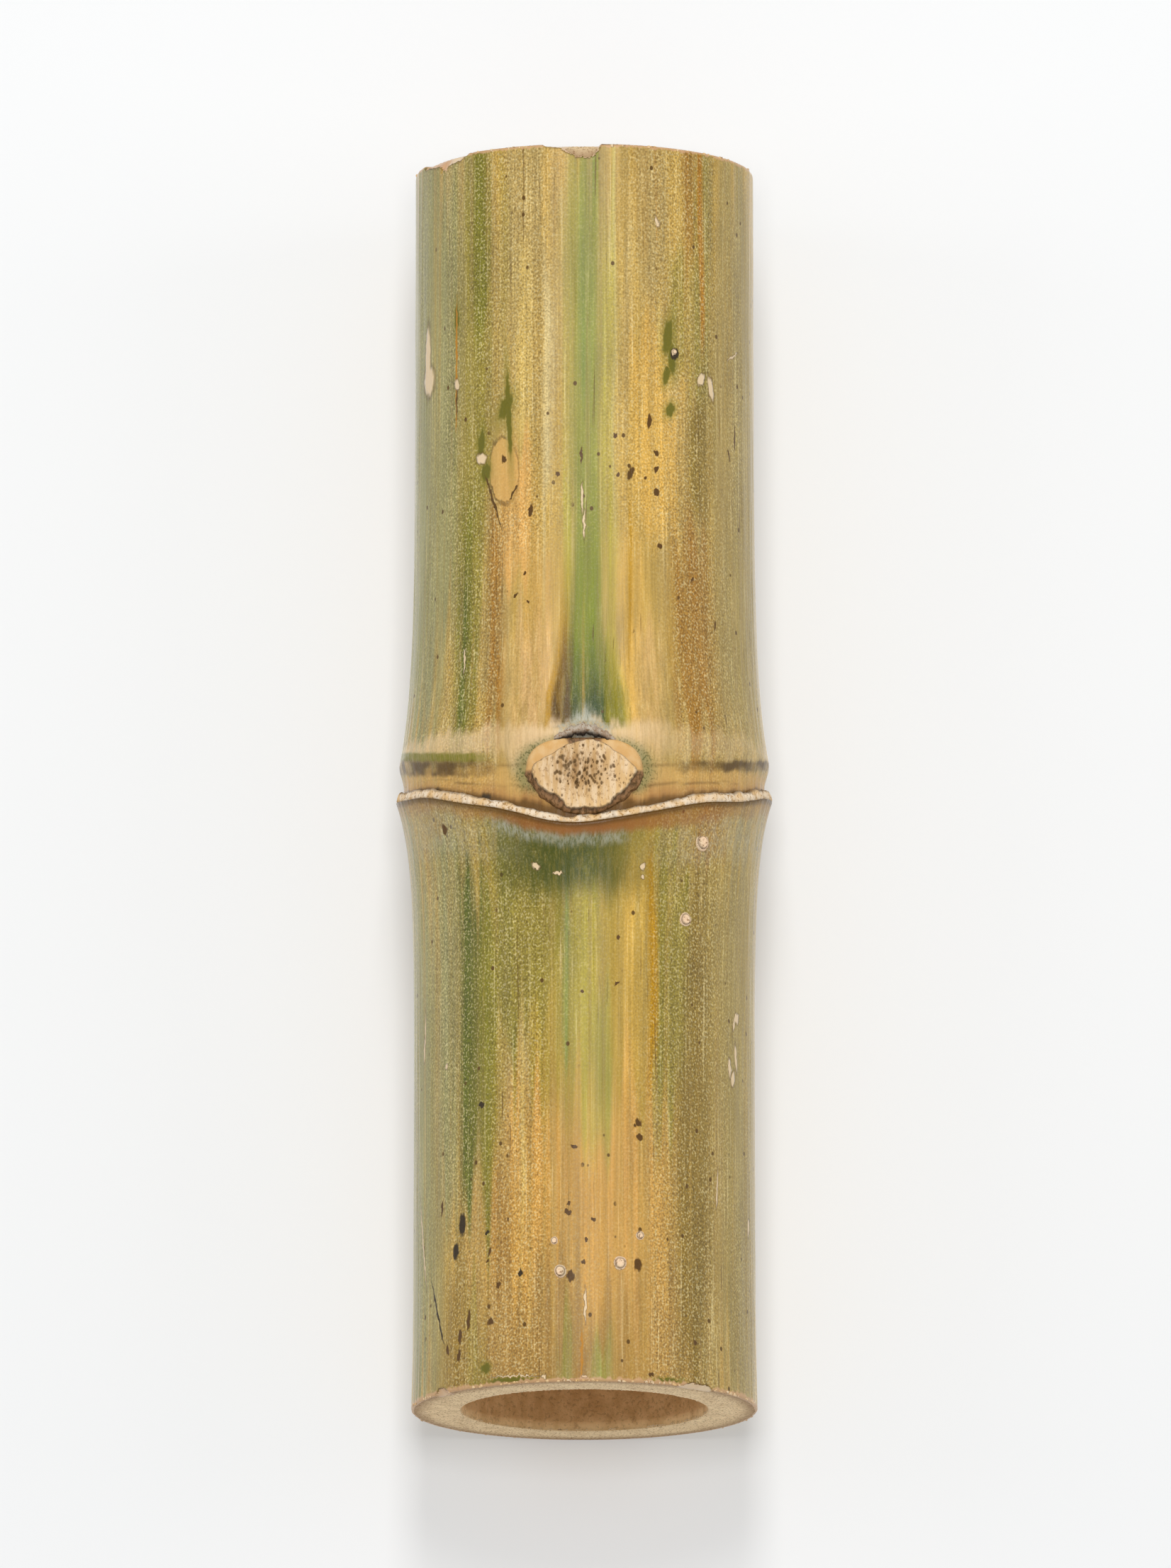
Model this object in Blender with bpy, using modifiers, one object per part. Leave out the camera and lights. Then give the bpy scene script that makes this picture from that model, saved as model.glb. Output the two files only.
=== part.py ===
"""A sawn length of bamboo cane, lying on its side with the stub of a cut branch uppermost.

The cane grew as one piece, so it is one solid: two part internodes that meet at a node. The node
carries, from below upwards, the thin scar ring of the fallen sheath, the branch stub, and the
swollen nodal ridge, and above the stub a shallow groove runs up the internode. Inside, a woody
partition closes the hollow at the node, and both hollows are open where the cane was sawn.

The cane is turned about its own Z axis, lower end at 0, with the branch facing -Y. It is then
laid down: it rests on the ring and on the lower rim, which are worn flat where they touch.
"""

import math

import bmesh
import bpy
import numpy as np
from mathutils import Vector

# Driving dimensions, in metres
CANE_LENGTH = 0.222
LOWER_RADIUS = 0.0302
UPPER_RADIUS = 0.0299
LOWER_HOLLOW_RADIUS = 0.0218
UPPER_HOLLOW_RADIUS = 0.0225
END_SWELL = 0.0004
END_SWELL_REACH = 0.014
SAWN_EDGE = 0.0004

# The node: heights are measured up the cane, at its sides
RING_HEIGHT = 0.1093
RING_RADIUS = 0.0333
RING_THICKNESS = 0.0011
RING_LIP_RADIUS = 0.0327
LOWER_FLARE_REACH = 0.0095
WAIST_RADIUS = 0.0319
WAIST_HEIGHT = 0.1116
RIDGE_HEIGHT = 0.1157
RIDGE_RADIUS = 0.0327
UPPER_FLARE_REACH = 0.0140

# How the ring dips under the branch and rises behind
RING_BACK_RISE = 0.0019
RING_FRONT_FALL = 0.0080
RING_BRANCH_DIP = 0.0036
RING_DIP_ANGLE = math.radians(25)
PULL_START = 0.072
PULL_END = 0.1150
RING_WAVER = 0.00025

# The partition inside the node
PARTITION_LOW = 0.1105
PARTITION_HIGH = 0.1140
PARTITION_DOME = 0.0015
PARTITION_FILLET = 0.0040

# Slight departures from a true round
OVAL = 0.00016
OVAL_DIRECTION = math.radians(35)

# The groove above the branch, and the crusted brow that closes its foot
GROOVE_HALF_WIDTH = 0.0054
GROOVE_DEPTH = 0.0011
GROOVE_TOP_DEPTH = 0.00025
GROOVE_START = 0.1162
GROOVE_FULL = 0.1180
BROW_HEIGHT = 0.1153
BROW_HALF_THICKNESS = 0.0010
BROW_RISE = 0.0005

# The branch stub: a collar and the sawn stub that stands on it
# Each outline is a superellipse: height of its widest line, half width, reach above that line and
# below it, and how square it is above and below
STUB_ROOT = 0.0285
STUB_TAPER = 0.94
COLLAR_FACE = 0.0331
COLLAR_OUTLINE = (0.1077, 0.0106, 0.0074, 0.0078, 2.5, 2.0)
CUT_FACE = 0.0340
CUT_OUTLINE = (0.1087, 0.0098, 0.0059, 0.0073, 1.4, 1.6)

# Spalls on the sawn rims: height of the rim, angle from the front, half width, depth into the
# wall, and reach along the cane
SPALLS = {
    "spall_front": (CANE_LENGTH, math.radians(-1.5), 0.0052, 0.0022, 0.0026),
    "spall_left": (CANE_LENGTH, math.radians(-52.0), 0.0036, 0.0020, 0.0030),
    "spall_lower_left": (0.0, math.radians(-56.0), 0.0022, 0.0012, 0.0012),
    "spall_lower_right": (0.0, math.radians(36.0), 0.0034, 0.0010, 0.0012),
}

# Where the cane rests
WORN_DEPTH = 0.00035
FLOOR_SIZE = 0.5

SIDES = 96
STUB_SIDES = 36
MERGE_DISTANCE = 0.00001
SKIN_COLOUR = (0.42, 0.36, 0.15, 1.0)
SKIN_ROUGHNESS = 0.42


def clear_scene():
    for old in list(bpy.data.objects):
        bpy.data.objects.remove(old)


def new_collection(name):
    collection = bpy.data.collections.new(name)
    bpy.context.scene.collection.children.link(collection)
    return collection


def add_object(name, mesh, collection):
    made = bpy.data.objects.new(name, mesh)
    collection.objects.link(made)
    return made


def skin_material():
    material = bpy.data.materials.new("bamboo_skin")
    material.use_nodes = True
    shader = material.node_tree.nodes["Principled BSDF"]
    shader.inputs["Base Color"].default_value = SKIN_COLOUR
    shader.inputs["Roughness"].default_value = SKIN_ROUGHNESS
    shader.inputs["Metallic"].default_value = 0.0
    return material


def internode_radius(height):
    """The plain radius at a height: an even taper, with a faint swell at the lower end."""
    taper = LOWER_RADIUS + (UPPER_RADIUS - LOWER_RADIUS) * height / CANE_LENGTH
    return taper + END_SWELL * math.exp(-height / END_SWELL_REACH)


def lower_skin_radius(height):
    """Below the ring, the skin flares out to the ring's edge."""
    flare = RING_RADIUS - internode_radius(RING_HEIGHT)
    return internode_radius(height) + flare * math.exp((height - RING_HEIGHT) / LOWER_FLARE_REACH)


def upper_skin_radius(height):
    """Above the ridge, the skin falls back to the plain radius."""
    flare = RIDGE_RADIUS - internode_radius(RIDGE_HEIGHT)
    return internode_radius(height) + flare * math.exp((RIDGE_HEIGHT - height) / UPPER_FLARE_REACH)


def rows_towards(near, far, count):
    """Heights from near, where they lie close together, out to far."""
    return near + (far - near) * np.linspace(0.0, 1.0, count) ** 2


def outer_profile():
    """The outer side as (radius, height), from the top down."""
    points = [(upper_skin_radius(CANE_LENGTH) - SAWN_EDGE, CANE_LENGTH)]
    upper = rows_towards(RIDGE_HEIGHT + 0.0012, CANE_LENGTH - SAWN_EDGE, 15)
    points += [(upper_skin_radius(height), height) for height in reversed(upper)]
    points += [
        (RIDGE_RADIUS, RIDGE_HEIGHT),
        (RIDGE_RADIUS - 0.0002, RIDGE_HEIGHT - 0.0012),
        (WAIST_RADIUS + 0.0002, RIDGE_HEIGHT - 0.0026),
        (WAIST_RADIUS, WAIST_HEIGHT),
        (RING_LIP_RADIUS - 0.0005, RING_HEIGHT + RING_THICKNESS + 0.0001),
        (RING_LIP_RADIUS, RING_HEIGHT + RING_THICKNESS - 0.0002),
        (RING_RADIUS, RING_HEIGHT + 0.0002),
    ]
    lower = rows_towards(RING_HEIGHT - 0.0006, SAWN_EDGE, 15)
    points += [(lower_skin_radius(height), height) for height in lower]
    points.append((lower_skin_radius(0.0) - SAWN_EDGE, 0.0))
    return points


def fillet(corner_radius, corner_height, towards):
    """A quarter round between the hollow's wall and the partition. towards is +1 upwards, -1 down."""
    arc = []
    for step in range(5):
        turn = math.radians(90) * step / 4
        arc.append(
            (
                corner_radius - PARTITION_FILLET * (1 - math.cos(turn)),
                corner_height + towards * PARTITION_FILLET * (1 - math.sin(turn)),
            )
        )
    return arc


def lower_hollow_profile():
    """From the lower rim up the hollow's wall and in along the partition's underside."""
    wall = [(LOWER_HOLLOW_RADIUS, height) for height in (0.0, 0.025, 0.055, 0.085)]
    corner = fillet(LOWER_HOLLOW_RADIUS, PARTITION_LOW, -1)
    middle = [(0.009, PARTITION_LOW - 0.7 * PARTITION_DOME), (0.0, PARTITION_LOW - PARTITION_DOME)]
    return wall + corner + middle


def upper_hollow_profile():
    """From the partition's top out to the hollow's wall and up to the upper rim."""
    middle = [(0.0, PARTITION_HIGH - PARTITION_DOME), (0.009, PARTITION_HIGH - 0.7 * PARTITION_DOME)]
    corner = list(reversed(fillet(UPPER_HOLLOW_RADIUS, PARTITION_HIGH, 1)))
    wall = [(UPPER_HOLLOW_RADIUS, height) for height in (0.140, 0.168, 0.196, CANE_LENGTH)]
    return middle + corner + wall


def turned_blank(collection):
    """The cane as a true body of revolution, turned by a Screw modifier."""
    profile = upper_hollow_profile() + outer_profile() + lower_hollow_profile()
    mesh = bpy.data.meshes.new("profile")
    points = [(radius, 0.0, height) for radius, height in profile]
    edges = [(i, i + 1) for i in range(len(points) - 1)]
    mesh.from_pydata(points, edges, [])
    blank = add_object("blank", mesh, collection)
    screw = blank.modifiers.new("turn", "SCREW")
    screw.axis = "Z"
    screw.angle = 2 * math.pi
    screw.steps = SIDES
    screw.render_steps = SIDES
    screw.use_merge_vertices = True
    screw.merge_threshold = MERGE_DISTANCE
    bpy.context.view_layer.update()
    turned = blank.evaluated_get(bpy.context.evaluated_depsgraph_get())
    solid = bpy.data.meshes.new_from_object(turned)
    bpy.data.objects.remove(blank)
    return solid


def ring_shift(angle):
    """How far the ring stands above its height at the sides, at an angle from the front."""
    facing = (1 + np.cos(angle)) / 2
    dip = RING_BRANCH_DIP * np.exp(-((angle / RING_DIP_ANGLE) ** 2))
    waver = RING_WAVER * (np.sin(5 * angle + 0.6) + 0.6 * np.sin(11 * angle))
    return RING_BACK_RISE - RING_FRONT_FALL * facing**2 - dip + waver


def grow(mesh):
    """Moves the turned blank's points to where they grew: the dipping ring, the groove, the oval."""
    points = np.empty(len(mesh.vertices) * 3)
    mesh.vertices.foreach_get("co", points)
    points = points.reshape(-1, 3)
    radius = np.hypot(points[:, 0], points[:, 1])
    angle = np.arctan2(points[:, 0], -points[:, 1])
    height = points[:, 2]
    on_skin = radius > (LOWER_HOLLOW_RADIUS + LOWER_RADIUS) / 2

    ring_low = RING_HEIGHT - 0.0012
    ring_high = RING_HEIGHT + RING_THICKNESS + 0.0001
    pull = np.interp(height, [PULL_START, ring_low, ring_high, PULL_END], [0, 1, 1, 0])
    shifted = height + on_skin * pull * ring_shift(angle)

    along = np.clip((height - GROOVE_START) / (GROOVE_FULL - GROOVE_START), 0, 1)
    depth = np.interp(height, [GROOVE_FULL, CANE_LENGTH], [GROOVE_DEPTH, GROOVE_TOP_DEPTH])
    across = np.exp(-((angle * radius / GROOVE_HALF_WIDTH) ** 4))
    groove = on_skin * along * depth * across
    brow_across = np.exp(-((angle * radius / (1.1 * GROOVE_HALF_WIDTH)) ** 6))
    brow_along = np.exp(-(((height - BROW_HEIGHT) / BROW_HALF_THICKNESS) ** 4))
    brow = on_skin * BROW_RISE * brow_across * brow_along
    oval = OVAL * np.cos(2 * (angle - OVAL_DIRECTION)) * (radius > 0.001)

    grown = radius - groove + brow + oval
    points[:, 0] = grown * np.sin(angle)
    points[:, 1] = -grown * np.cos(angle)
    points[:, 2] = shifted
    mesh.vertices.foreach_set("co", points.ravel())
    mesh.update()


def stub_slice(name, face, outline, collection):
    """A tapered block with a superellipse outline, from inside the wall out to its face."""
    widest_height, half_width, reach_up, reach_down, square_up, square_down = outline
    shape = bmesh.new()
    bmesh.ops.create_cone(
        shape,
        cap_ends=True,
        segments=STUB_SIDES,
        radius1=1.0,
        radius2=STUB_TAPER,
        depth=face - STUB_ROOT,
    )
    for corner in shape.verts:
        turn = math.atan2(corner.co.y, corner.co.x)
        reach = math.hypot(corner.co.x, corner.co.y)
        above = corner.co.y > 0
        half_height = reach_up if above else reach_down
        square = square_up if above else square_down
        wide = abs(math.cos(turn)) ** (2 / square)
        high = abs(math.sin(turn)) ** (2 / square)
        corner.co.x = math.copysign(reach * half_width * wide, math.cos(turn))
        corner.co.y = math.copysign(reach * half_height * high, math.sin(turn))
    mesh = bpy.data.meshes.new(name)
    shape.to_mesh(mesh)
    shape.free()
    block = add_object(name, mesh, collection)
    block.location = (0.0, -(face + STUB_ROOT) / 2, widest_height)
    block.rotation_euler = (math.radians(90), 0.0, 0.0)
    return block


def add_branch_stub(collection):
    collar = stub_slice("collar", COLLAR_FACE, COLLAR_OUTLINE, collection)
    cut = stub_slice("cut_branch", CUT_FACE, CUT_OUTLINE, collection)
    return [collar, cut]


def add_spall_cutter(name, size, collection):
    """A flattened ball on a sawn rim that chips its edge."""
    rim_height, angle, half_width, depth, reach = size
    shape = bmesh.new()
    bmesh.ops.create_icosphere(shape, subdivisions=2, radius=1.0)
    bmesh.ops.scale(shape, vec=Vector((half_width, depth, reach)), verts=shape.verts)
    mesh = bpy.data.meshes.new(name)
    shape.to_mesh(mesh)
    shape.free()
    chip = add_object(name, mesh, collection)
    edge = internode_radius(rim_height)
    chip.location = (edge * math.sin(angle), -edge * math.cos(angle), rim_height)
    chip.rotation_euler = (0.0, 0.0, angle)
    return chip


def add_floor_cutter(collection):
    """A block whose top is the floor. It shaves the two places that touch."""
    bpy.ops.mesh.primitive_cube_add(size=FLOOR_SIZE, location=(0.0, 0.0, -FLOOR_SIZE / 2))
    floor = bpy.context.active_object
    floor.name = "floor_cutter"
    for owner in list(floor.users_collection):
        owner.objects.unlink(floor)
    collection.objects.link(floor)
    return floor


def lay_down(cane):
    """Turns the cane onto its ring and lower rim, and centres its box over the origin."""
    back_ring = RING_HEIGHT + float(ring_shift(math.pi))
    tilt = math.atan2(RING_RADIUS - lower_skin_radius(0.0), back_ring)
    cane.rotation_euler = (math.radians(-90) + tilt, 0.0, 0.0)
    bpy.context.view_layer.update()
    corners = np.array([cane.matrix_world @ vertex.co for vertex in cane.data.vertices])
    low, high = corners.min(axis=0), corners.max(axis=0)
    cane.location = (-(low[0] + high[0]) / 2, -(low[1] + high[1]) / 2, -low[2] - WORN_DEPTH)


def hide_tools(collection):
    for tool in collection.objects:
        tool.hide_render = True
        tool.display_type = "WIRE"


def add_boolean(cane, name, operation, collection):
    step = cane.modifiers.new(name, "BOOLEAN")
    step.operation = operation
    step.operand_type = "COLLECTION"
    step.collection = collection
    step.solver = "EXACT"


def main():
    clear_scene()
    parts = new_collection("bamboo_cane")
    growths = new_collection("growths")
    cutters = new_collection("cutters")

    solid = turned_blank(parts)
    grow(solid)
    cane = add_object("bamboo_culm", solid, parts)
    cane.data.materials.append(skin_material())
    lay_down(cane)

    for growth in add_branch_stub(growths):
        growth.parent = cane
    for name, size in SPALLS.items():
        chip = add_spall_cutter(name, size, cutters)
        chip.parent = cane
    add_floor_cutter(cutters)
    hide_tools(growths)
    hide_tools(cutters)

    add_boolean(cane, "branch", "UNION", growths)
    add_boolean(cane, "wear", "DIFFERENCE", cutters)
    cane.data.shade_smooth()
    cane.data.set_sharp_from_angle(angle=math.radians(35))


main()
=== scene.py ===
"""Dresses a sawn length of bamboo cane that lies on its side, with the stub of a cut branch on top.

Every piece is a surface worked out in the cane's own frame: the angle round the cane from the branch,
positive to the right, the height up the cane from its lower end, and the radius. lay_down then
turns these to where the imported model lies.
"""

import math
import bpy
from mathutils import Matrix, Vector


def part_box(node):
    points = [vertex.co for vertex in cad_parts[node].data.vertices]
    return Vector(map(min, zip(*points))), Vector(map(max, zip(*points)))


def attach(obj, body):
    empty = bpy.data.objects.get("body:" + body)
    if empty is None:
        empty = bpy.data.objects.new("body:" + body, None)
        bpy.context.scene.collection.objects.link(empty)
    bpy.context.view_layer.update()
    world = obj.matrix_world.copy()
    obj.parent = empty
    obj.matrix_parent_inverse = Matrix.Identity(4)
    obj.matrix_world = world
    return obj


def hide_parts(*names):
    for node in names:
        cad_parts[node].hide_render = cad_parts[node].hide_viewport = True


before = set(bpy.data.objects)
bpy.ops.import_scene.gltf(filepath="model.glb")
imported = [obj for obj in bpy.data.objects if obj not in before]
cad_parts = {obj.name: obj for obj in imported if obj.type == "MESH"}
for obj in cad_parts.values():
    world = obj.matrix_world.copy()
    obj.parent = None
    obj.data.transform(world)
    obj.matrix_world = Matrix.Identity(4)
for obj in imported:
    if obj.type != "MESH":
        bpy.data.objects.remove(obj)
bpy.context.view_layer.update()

from types import SimpleNamespace

import bmesh
import bpy
import numpy as np
from bpy.props import FloatProperty, FloatVectorProperty, IntProperty, PointerProperty
from mathutils import Vector

bl_info = {
    "name": "Bamboo Cane",
    "version": (1, 0, 0),
    "blender": (4, 5, 0),
    "location": "View3D > Sidebar > Bamboo Cane",
    "description": "Builds a sawn length of bamboo cane with its node, scar ring and cut branch",
    "category": "Add Mesh",
}

CANE_NODE = "bamboo_culm"
BODY = "root"
MM = 0.001

# The cane's sizes, in metres, as in the solid model
CANE_LENGTH = 0.222
LOWER_RADIUS = 0.0302
UPPER_RADIUS = 0.0299
LOWER_HOLLOW_RADIUS = 0.0218
UPPER_HOLLOW_RADIUS = 0.0225
END_SWELL = 0.0004
END_SWELL_REACH = 0.014
RING_HEIGHT = 0.1093
RING_RADIUS = 0.0333
RING_THICKNESS = 0.0011
LOWER_FLARE_REACH = 0.0095
WAIST_RADIUS = 0.0319
WAIST_HEIGHT = 0.1116
RIDGE_HEIGHT = 0.1157
RIDGE_RADIUS = 0.0327
UPPER_FLARE_REACH = 0.0140
RING_BACK_RISE = 0.0019
RING_FRONT_FALL = 0.0080
RING_BRANCH_DIP = 0.0036
RING_DIP_ANGLE = math.radians(25)
RING_WAVER = 0.00025
PULL_START = 0.072
PULL_END = 0.1150
PARTITION_LOW = 0.1105
PARTITION_HIGH = 0.1140
PARTITION_DOME = 0.0015
PARTITION_FILLET = 0.0040
OVAL = 0.00016
OVAL_DIRECTION = math.radians(35)
GROOVE_HALF_WIDTH = 0.0054
GROOVE_DEPTH = 0.0011
GROOVE_TOP_DEPTH = 0.00025
GROOVE_START = 0.1162
GROOVE_FULL = 0.1180
WORN_DEPTH = 0.00035
CUT_FACE = 0.0340
COLLAR_FACE = 0.0331

# How far the skin rounds off at a sawn rim, over what length and in which rows, and how far inside
# the skin the rows lie that close it
RIM_ROUNDING = 0.00042
RIM_ROUNDING_REACH = 0.00016
RIM_ROWS = (0.00002, 0.00015, 0.0003)
UNDER_DEPTH = 0.0030
UNDER_ROWS = 5

# The middles of the branch's cut and of its collar, as heights, and the skin's radius at the brow
CUT_MIDDLE = 0.1081
COLLAR_MIDDLE = 0.1084
BROW_SEAT = 0.03248

# The collar's outline: half width, reach up and down the cane, and the squareness of both halves
COLLAR_HALF_WIDTH = 0.0099
COLLAR_UP = 0.0063
COLLAR_DOWN = 0.0075
COLLAR_UP_SQUARENESS = 3.0
COLLAR_DOWN_SQUARENESS = 1.62

# Pits in the cut: how many, where they gather from its middle, how far they spread and how deep
PITS = 170
PITS_SIDE = (-0.0006, 0.0028)
PITS_ALONG = (0.0004, 0.0022)
PIT_SIZES = (0.00010, 0.00027)
PIT_DEPTH = 0.00022

# Crumbs on the rims
CRUMBS = 150

# Spalls on the sawn rims: height of the rim, angle from the front in degrees, half width, depth
# into the wall and reach along the cane, in millimetres, then the chip line as shares of the half
# width and of the reach
SPALLS = (
    (222.0, -4.0, 5.6, 2.2, 2.5, (
        (-1.0, 0.0), (-0.7, 0.2), (-0.3, 0.33), (-0.12, 0.7), (0.09, 0.95), (0.3, 1.0), (0.66, 0.95),
        (0.78, 0.55), (0.93, 0.1), (1.0, 0.0),
    )),
    (222.0, -58.0, 8.0, 1.2, 2.8, (
        (-1.0, 0.0), (-0.8, 0.3), (-0.4, 0.4), (-0.05, 0.5), (0.1, 1.0), (0.2, 0.6), (0.6, 0.42),
        (0.85, 0.25), (1.0, 0.0),
    )),
    (0.0, -56.0, 2.2, 1.2, 1.2, ((-1.0, 0.0), (-0.3, 1.0), (0.4, 0.8), (1.0, 0.0))),
    (0.0, 41.0, 3.8, 0.9, 0.9, (
        (-1.0, 0.0), (-0.8, 0.6), (-0.3, 1.0), (0.1, 0.7), (0.5, 1.0), (1.0, 0.0),
    )),
)
# Where a spall reaches less far than this along the cane, the skin is whole, or has no painted shadow line
SPALL_LEAST = 0.00008
SPALL_LINED = 0.00025

# What the skin's mesh carries for the colours that follow the node, painted shade and highlight among them
NODE_BANDS = (
    "halo", "bloom", "band_cream_and_highlight", "band_peach", "band_groove", "band_moss", "band_rust", "band_crack_and_shade",
    "band_soot_and_shade",
)

# The scar ring's section, as steps out of the ring's radius and up from its foot, in millimetres
RING_SECTION = (
    (-1.8, -0.35), (-0.75, -0.38), (-0.28, -0.30), (-0.04, -0.08), (0.0, 0.12), (-0.08, 0.42),
    (-0.22, 0.72), (-0.42, 0.98), (-0.75, 1.08), (-1.3, 1.0), (-2.2, 0.8),
)

# The cut's outline from its top round to the left, as steps from its middle, in millimetres
CUT_OUTLINE = (
    (0.4, 6.2), (-3.1, 5.2), (-6.2, 3.4), (-8.5, 2.1), (-9.2, 1.0), (-8.8, -0.9), (-6.6, -3.2),
    (-5.2, -3.6), (-4.2, -4.4), (-3.1, -5.8), (-1.5, -6.2), (0.2, -6.0), (2.3, -6.1), (4.2, -5.4),
    (5.2, -4.2), (6.9, -2.9), (8.1, -1.3), (9.1, 0.4), (9.0, 1.3), (7.3, 2.9), (5.2, 4.3), (2.7, 5.8),
)

# The collar's section, as shares of its outline and steps from its face, in millimetres
COLLAR_SECTION = (
    (0.40, -3.6), (0.42, -0.35), (0.66, -0.05), (0.86, 0.0), (0.94, -0.05), (0.985, -0.25),
    (1.01, -0.6), (1.03, -1.2), (1.05, -2.2), (0.95, -4.4),
)

# The brow's line, as shares of its length with steps to the side and with heights, in millimetres
BROW_SIDES = ((0.0, -5.4), (0.25, -2.7), (0.5, 0.1), (0.75, 2.9), (1.0, 5.6))
BROW_HEIGHTS = (
    (0.0, 114.6), (0.1, 115.0), (0.3, 115.9), (0.5, 116.3), (0.7, 115.8), (0.9, 114.8), (1.0, 114.2),
)

# A knob's section, as shares of its radius and of its rise
KNOB_SECTION = (
    (0.0, 0.75), (0.2, 0.85), (0.4, 1.0), (0.55, 0.95), (0.66, 0.7), (0.74, 0.35), (0.8, 0.2),
    (0.88, 0.35), (0.98, 0.3), (1.08, -0.1), (1.0, -1.2), (0.0, -1.2),
)

# The pale room's colour and light, how far right of the cane's middle and above it the camera
# looks, and the floor's width
ROOM_COLOUR = (0.97, 0.985, 1.0, 1.0)
ROOM_LIGHT = 0.36
PICTURE_RIGHT = 0.0002
PICTURE_UP = 0.00144
FLOOR_SIZE = 6.0

# The soft lamps: name, place, target, width and length, power
LAMPS = (
    ("key", (0.0, 0.55, 1.10), (0.0, 0.0, 0.03), (0.24, 0.60), 5.9),
    ("overhead", (0.0, -0.10, 1.40), (0.0, 0.0, 0.03), (0.25, 0.25), 4.9),
    ("left_side", (-0.80, 0.10, 0.45), (0.0, 0.0, 0.03), (0.4, 0.7), 1.25),
    ("right_side", (0.80, 0.10, 0.45), (0.0, 0.0, 0.03), (0.4, 0.7), 1.35),
    ("front", (0.0, -0.90, 0.30), (0.0, -0.1, 0.03), (0.5, 0.3), 0.8),
)

# The palette, as colours seen on screen
PAINTS = {
    "tan": (192, 158, 84),
    "dry_tan": (178, 152, 94),
    "amber": (200, 152, 80),
    "olive_tan": (168, 144, 62),
    "sage": (148, 142, 92),
    "khaki": (158, 138, 82),
    "olive": (148, 132, 58),
    "moss": (122, 116, 36),
    "deep_moss": (94, 100, 32),
    "leaf": (146, 144, 66),
    "blue_green": (116, 136, 66),
    "yellow_green": (178, 166, 70),
    "straw": (212, 184, 110),
    "pale": (222, 206, 156),
    "gold": (216, 172, 90),
    "deep_gold": (178, 134, 40),
    "peach": (214, 166, 98),
    "blush": (216, 176, 122),
    "brown": (160, 116, 50),
    "olive_brown": (134, 108, 44),
    "rust": (152, 94, 54),
    "burnt": (182, 124, 38),
    "umber": (156, 122, 66),
    "haze": (124, 126, 84),
    "grass": (114, 124, 26),
    "groove": (58, 68, 6),
    "groove_blue": (36, 62, 18),
    "groove_flank": (86, 60, 0),
    "groove_edge": (122, 114, 16),
    "groove_vein": (186, 150, 66),
    "bloom": (176, 174, 156),
    # Cream is also the painted highlight on the nodal ridge's crest and on the sawn ends' fibres
    "cream_and_highlight": (232, 202, 160),
    "chip": (230, 204, 166),
    "knob": (244, 208, 170),
    "torn": (204, 160, 118),
    "stain": (94, 90, 0),
    # The crack and soot browns also serve as painted shade and painted shadow on skin and wood
    "crack_and_shade": (86, 58, 8),
    "soot_and_shade": (48, 33, 0),
    "fleck": (86, 55, 0),
    "sponge": (134, 92, 44),
    "cut": (222, 182, 124),
    "bark": (150, 108, 66),
    "peel": (212, 168, 100),
    "scar": (236, 216, 188),
    "crust": (200, 190, 172),
    "crust_brown": (160, 132, 106),
    "sawn": (242, 214, 168),
    "sawn_grey": (226, 196, 150),
    "sawn_brown": (146, 110, 72),
    "inner": (238, 194, 134),
    "inner_dark": (216, 170, 110),
}

# Streaks along the upper internode: paint, degrees from the front, half width, lowest and highest
# point in millimetres, strength
UPPER_STREAKS = (
    ("sage", -74, 13.0, 96, 240, 1.0),
    ("sage", -52, 5.5, 112, 240, 0.9),
    ("olive", -40, 5.0, 110, 240, 0.9),
    ("moss", -38, 2.8, 186, 240, 0.9),
    ("moss", -34, 1.2, 160, 200, 0.5),
    ("moss", -42.5, 2.3, 106, 168, 0.95),
    ("deep_moss", -42.5, 1.0, 110, 150, 0.7),
    ("olive", -28, 1.6, 178, 232, 0.45),
    ("straw", -23, 2.6, 168, 206, 0.5),
    ("peach", -24, 3.6, 140, 172, 0.8),
    ("brown", -30, 2.0, 108, 166, 0.85),
    ("pale", -13, 1.4, 150, 206, 0.5),
    ("pale", -14.5, 0.35, 112, 232, 0.5),
    ("peach", -16, 3.0, 112, 158, 0.5),
    ("blush", -18, 4.2, 98, 144, 0.6),
    ("blush", 20, 3.6, 98, 140, 0.5),
    ("peach", -10, 3.0, 206, 240, 0.3),
    ("leaf", 1.0, 4.3, 112, 240, 0.9),
    ("blue_green", 1.5, 1.4, 160, 240, 0.5),
    ("moss", 1.2, 3.0, 106, 174, 0.75),
    ("deep_moss", 3.5, 1.0, 116, 158, 0.5),
    ("yellow_green", 8.2, 1.4, 112, 232, 0.6),
    ("yellow_green", -6.0, 1.0, 112, 176, 0.7),
    ("pale", 9.8, 0.3, 150, 232, 0.5),
    ("gold", 22.5, 4.6, 148, 194, 0.8),
    ("gold", 28, 4.4, 146, 182, 0.75),
    ("straw", 25, 1.3, 156, 202, 0.7),
    ("gold", 15, 3.0, 108, 160, 0.6),
    ("brown", 22, 5.0, 200, 240, 0.3),
    ("deep_gold", 14.5, 0.4, 124, 166, 0.7),
    ("olive", 33, 2.6, 178, 206, 0.7),
    ("olive", 43, 3.6, 156, 240, 0.8),
    ("brown", 38, 1.8, 192, 240, 0.7),
    ("burnt", 43.2, 0.75, 180, 240, 1.0),
    ("burnt", 24.6, 0.25, 196, 230, 0.5),
    ("olive_brown", 42, 3.6, 150, 182, 0.8),
    ("yellow_green", 40, 1.3, 156, 178, 0.5),
    ("brown", 39, 5.0, 104, 166, 0.95),
    ("khaki", 66, 12.0, 96, 240, 0.85),
)

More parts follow.
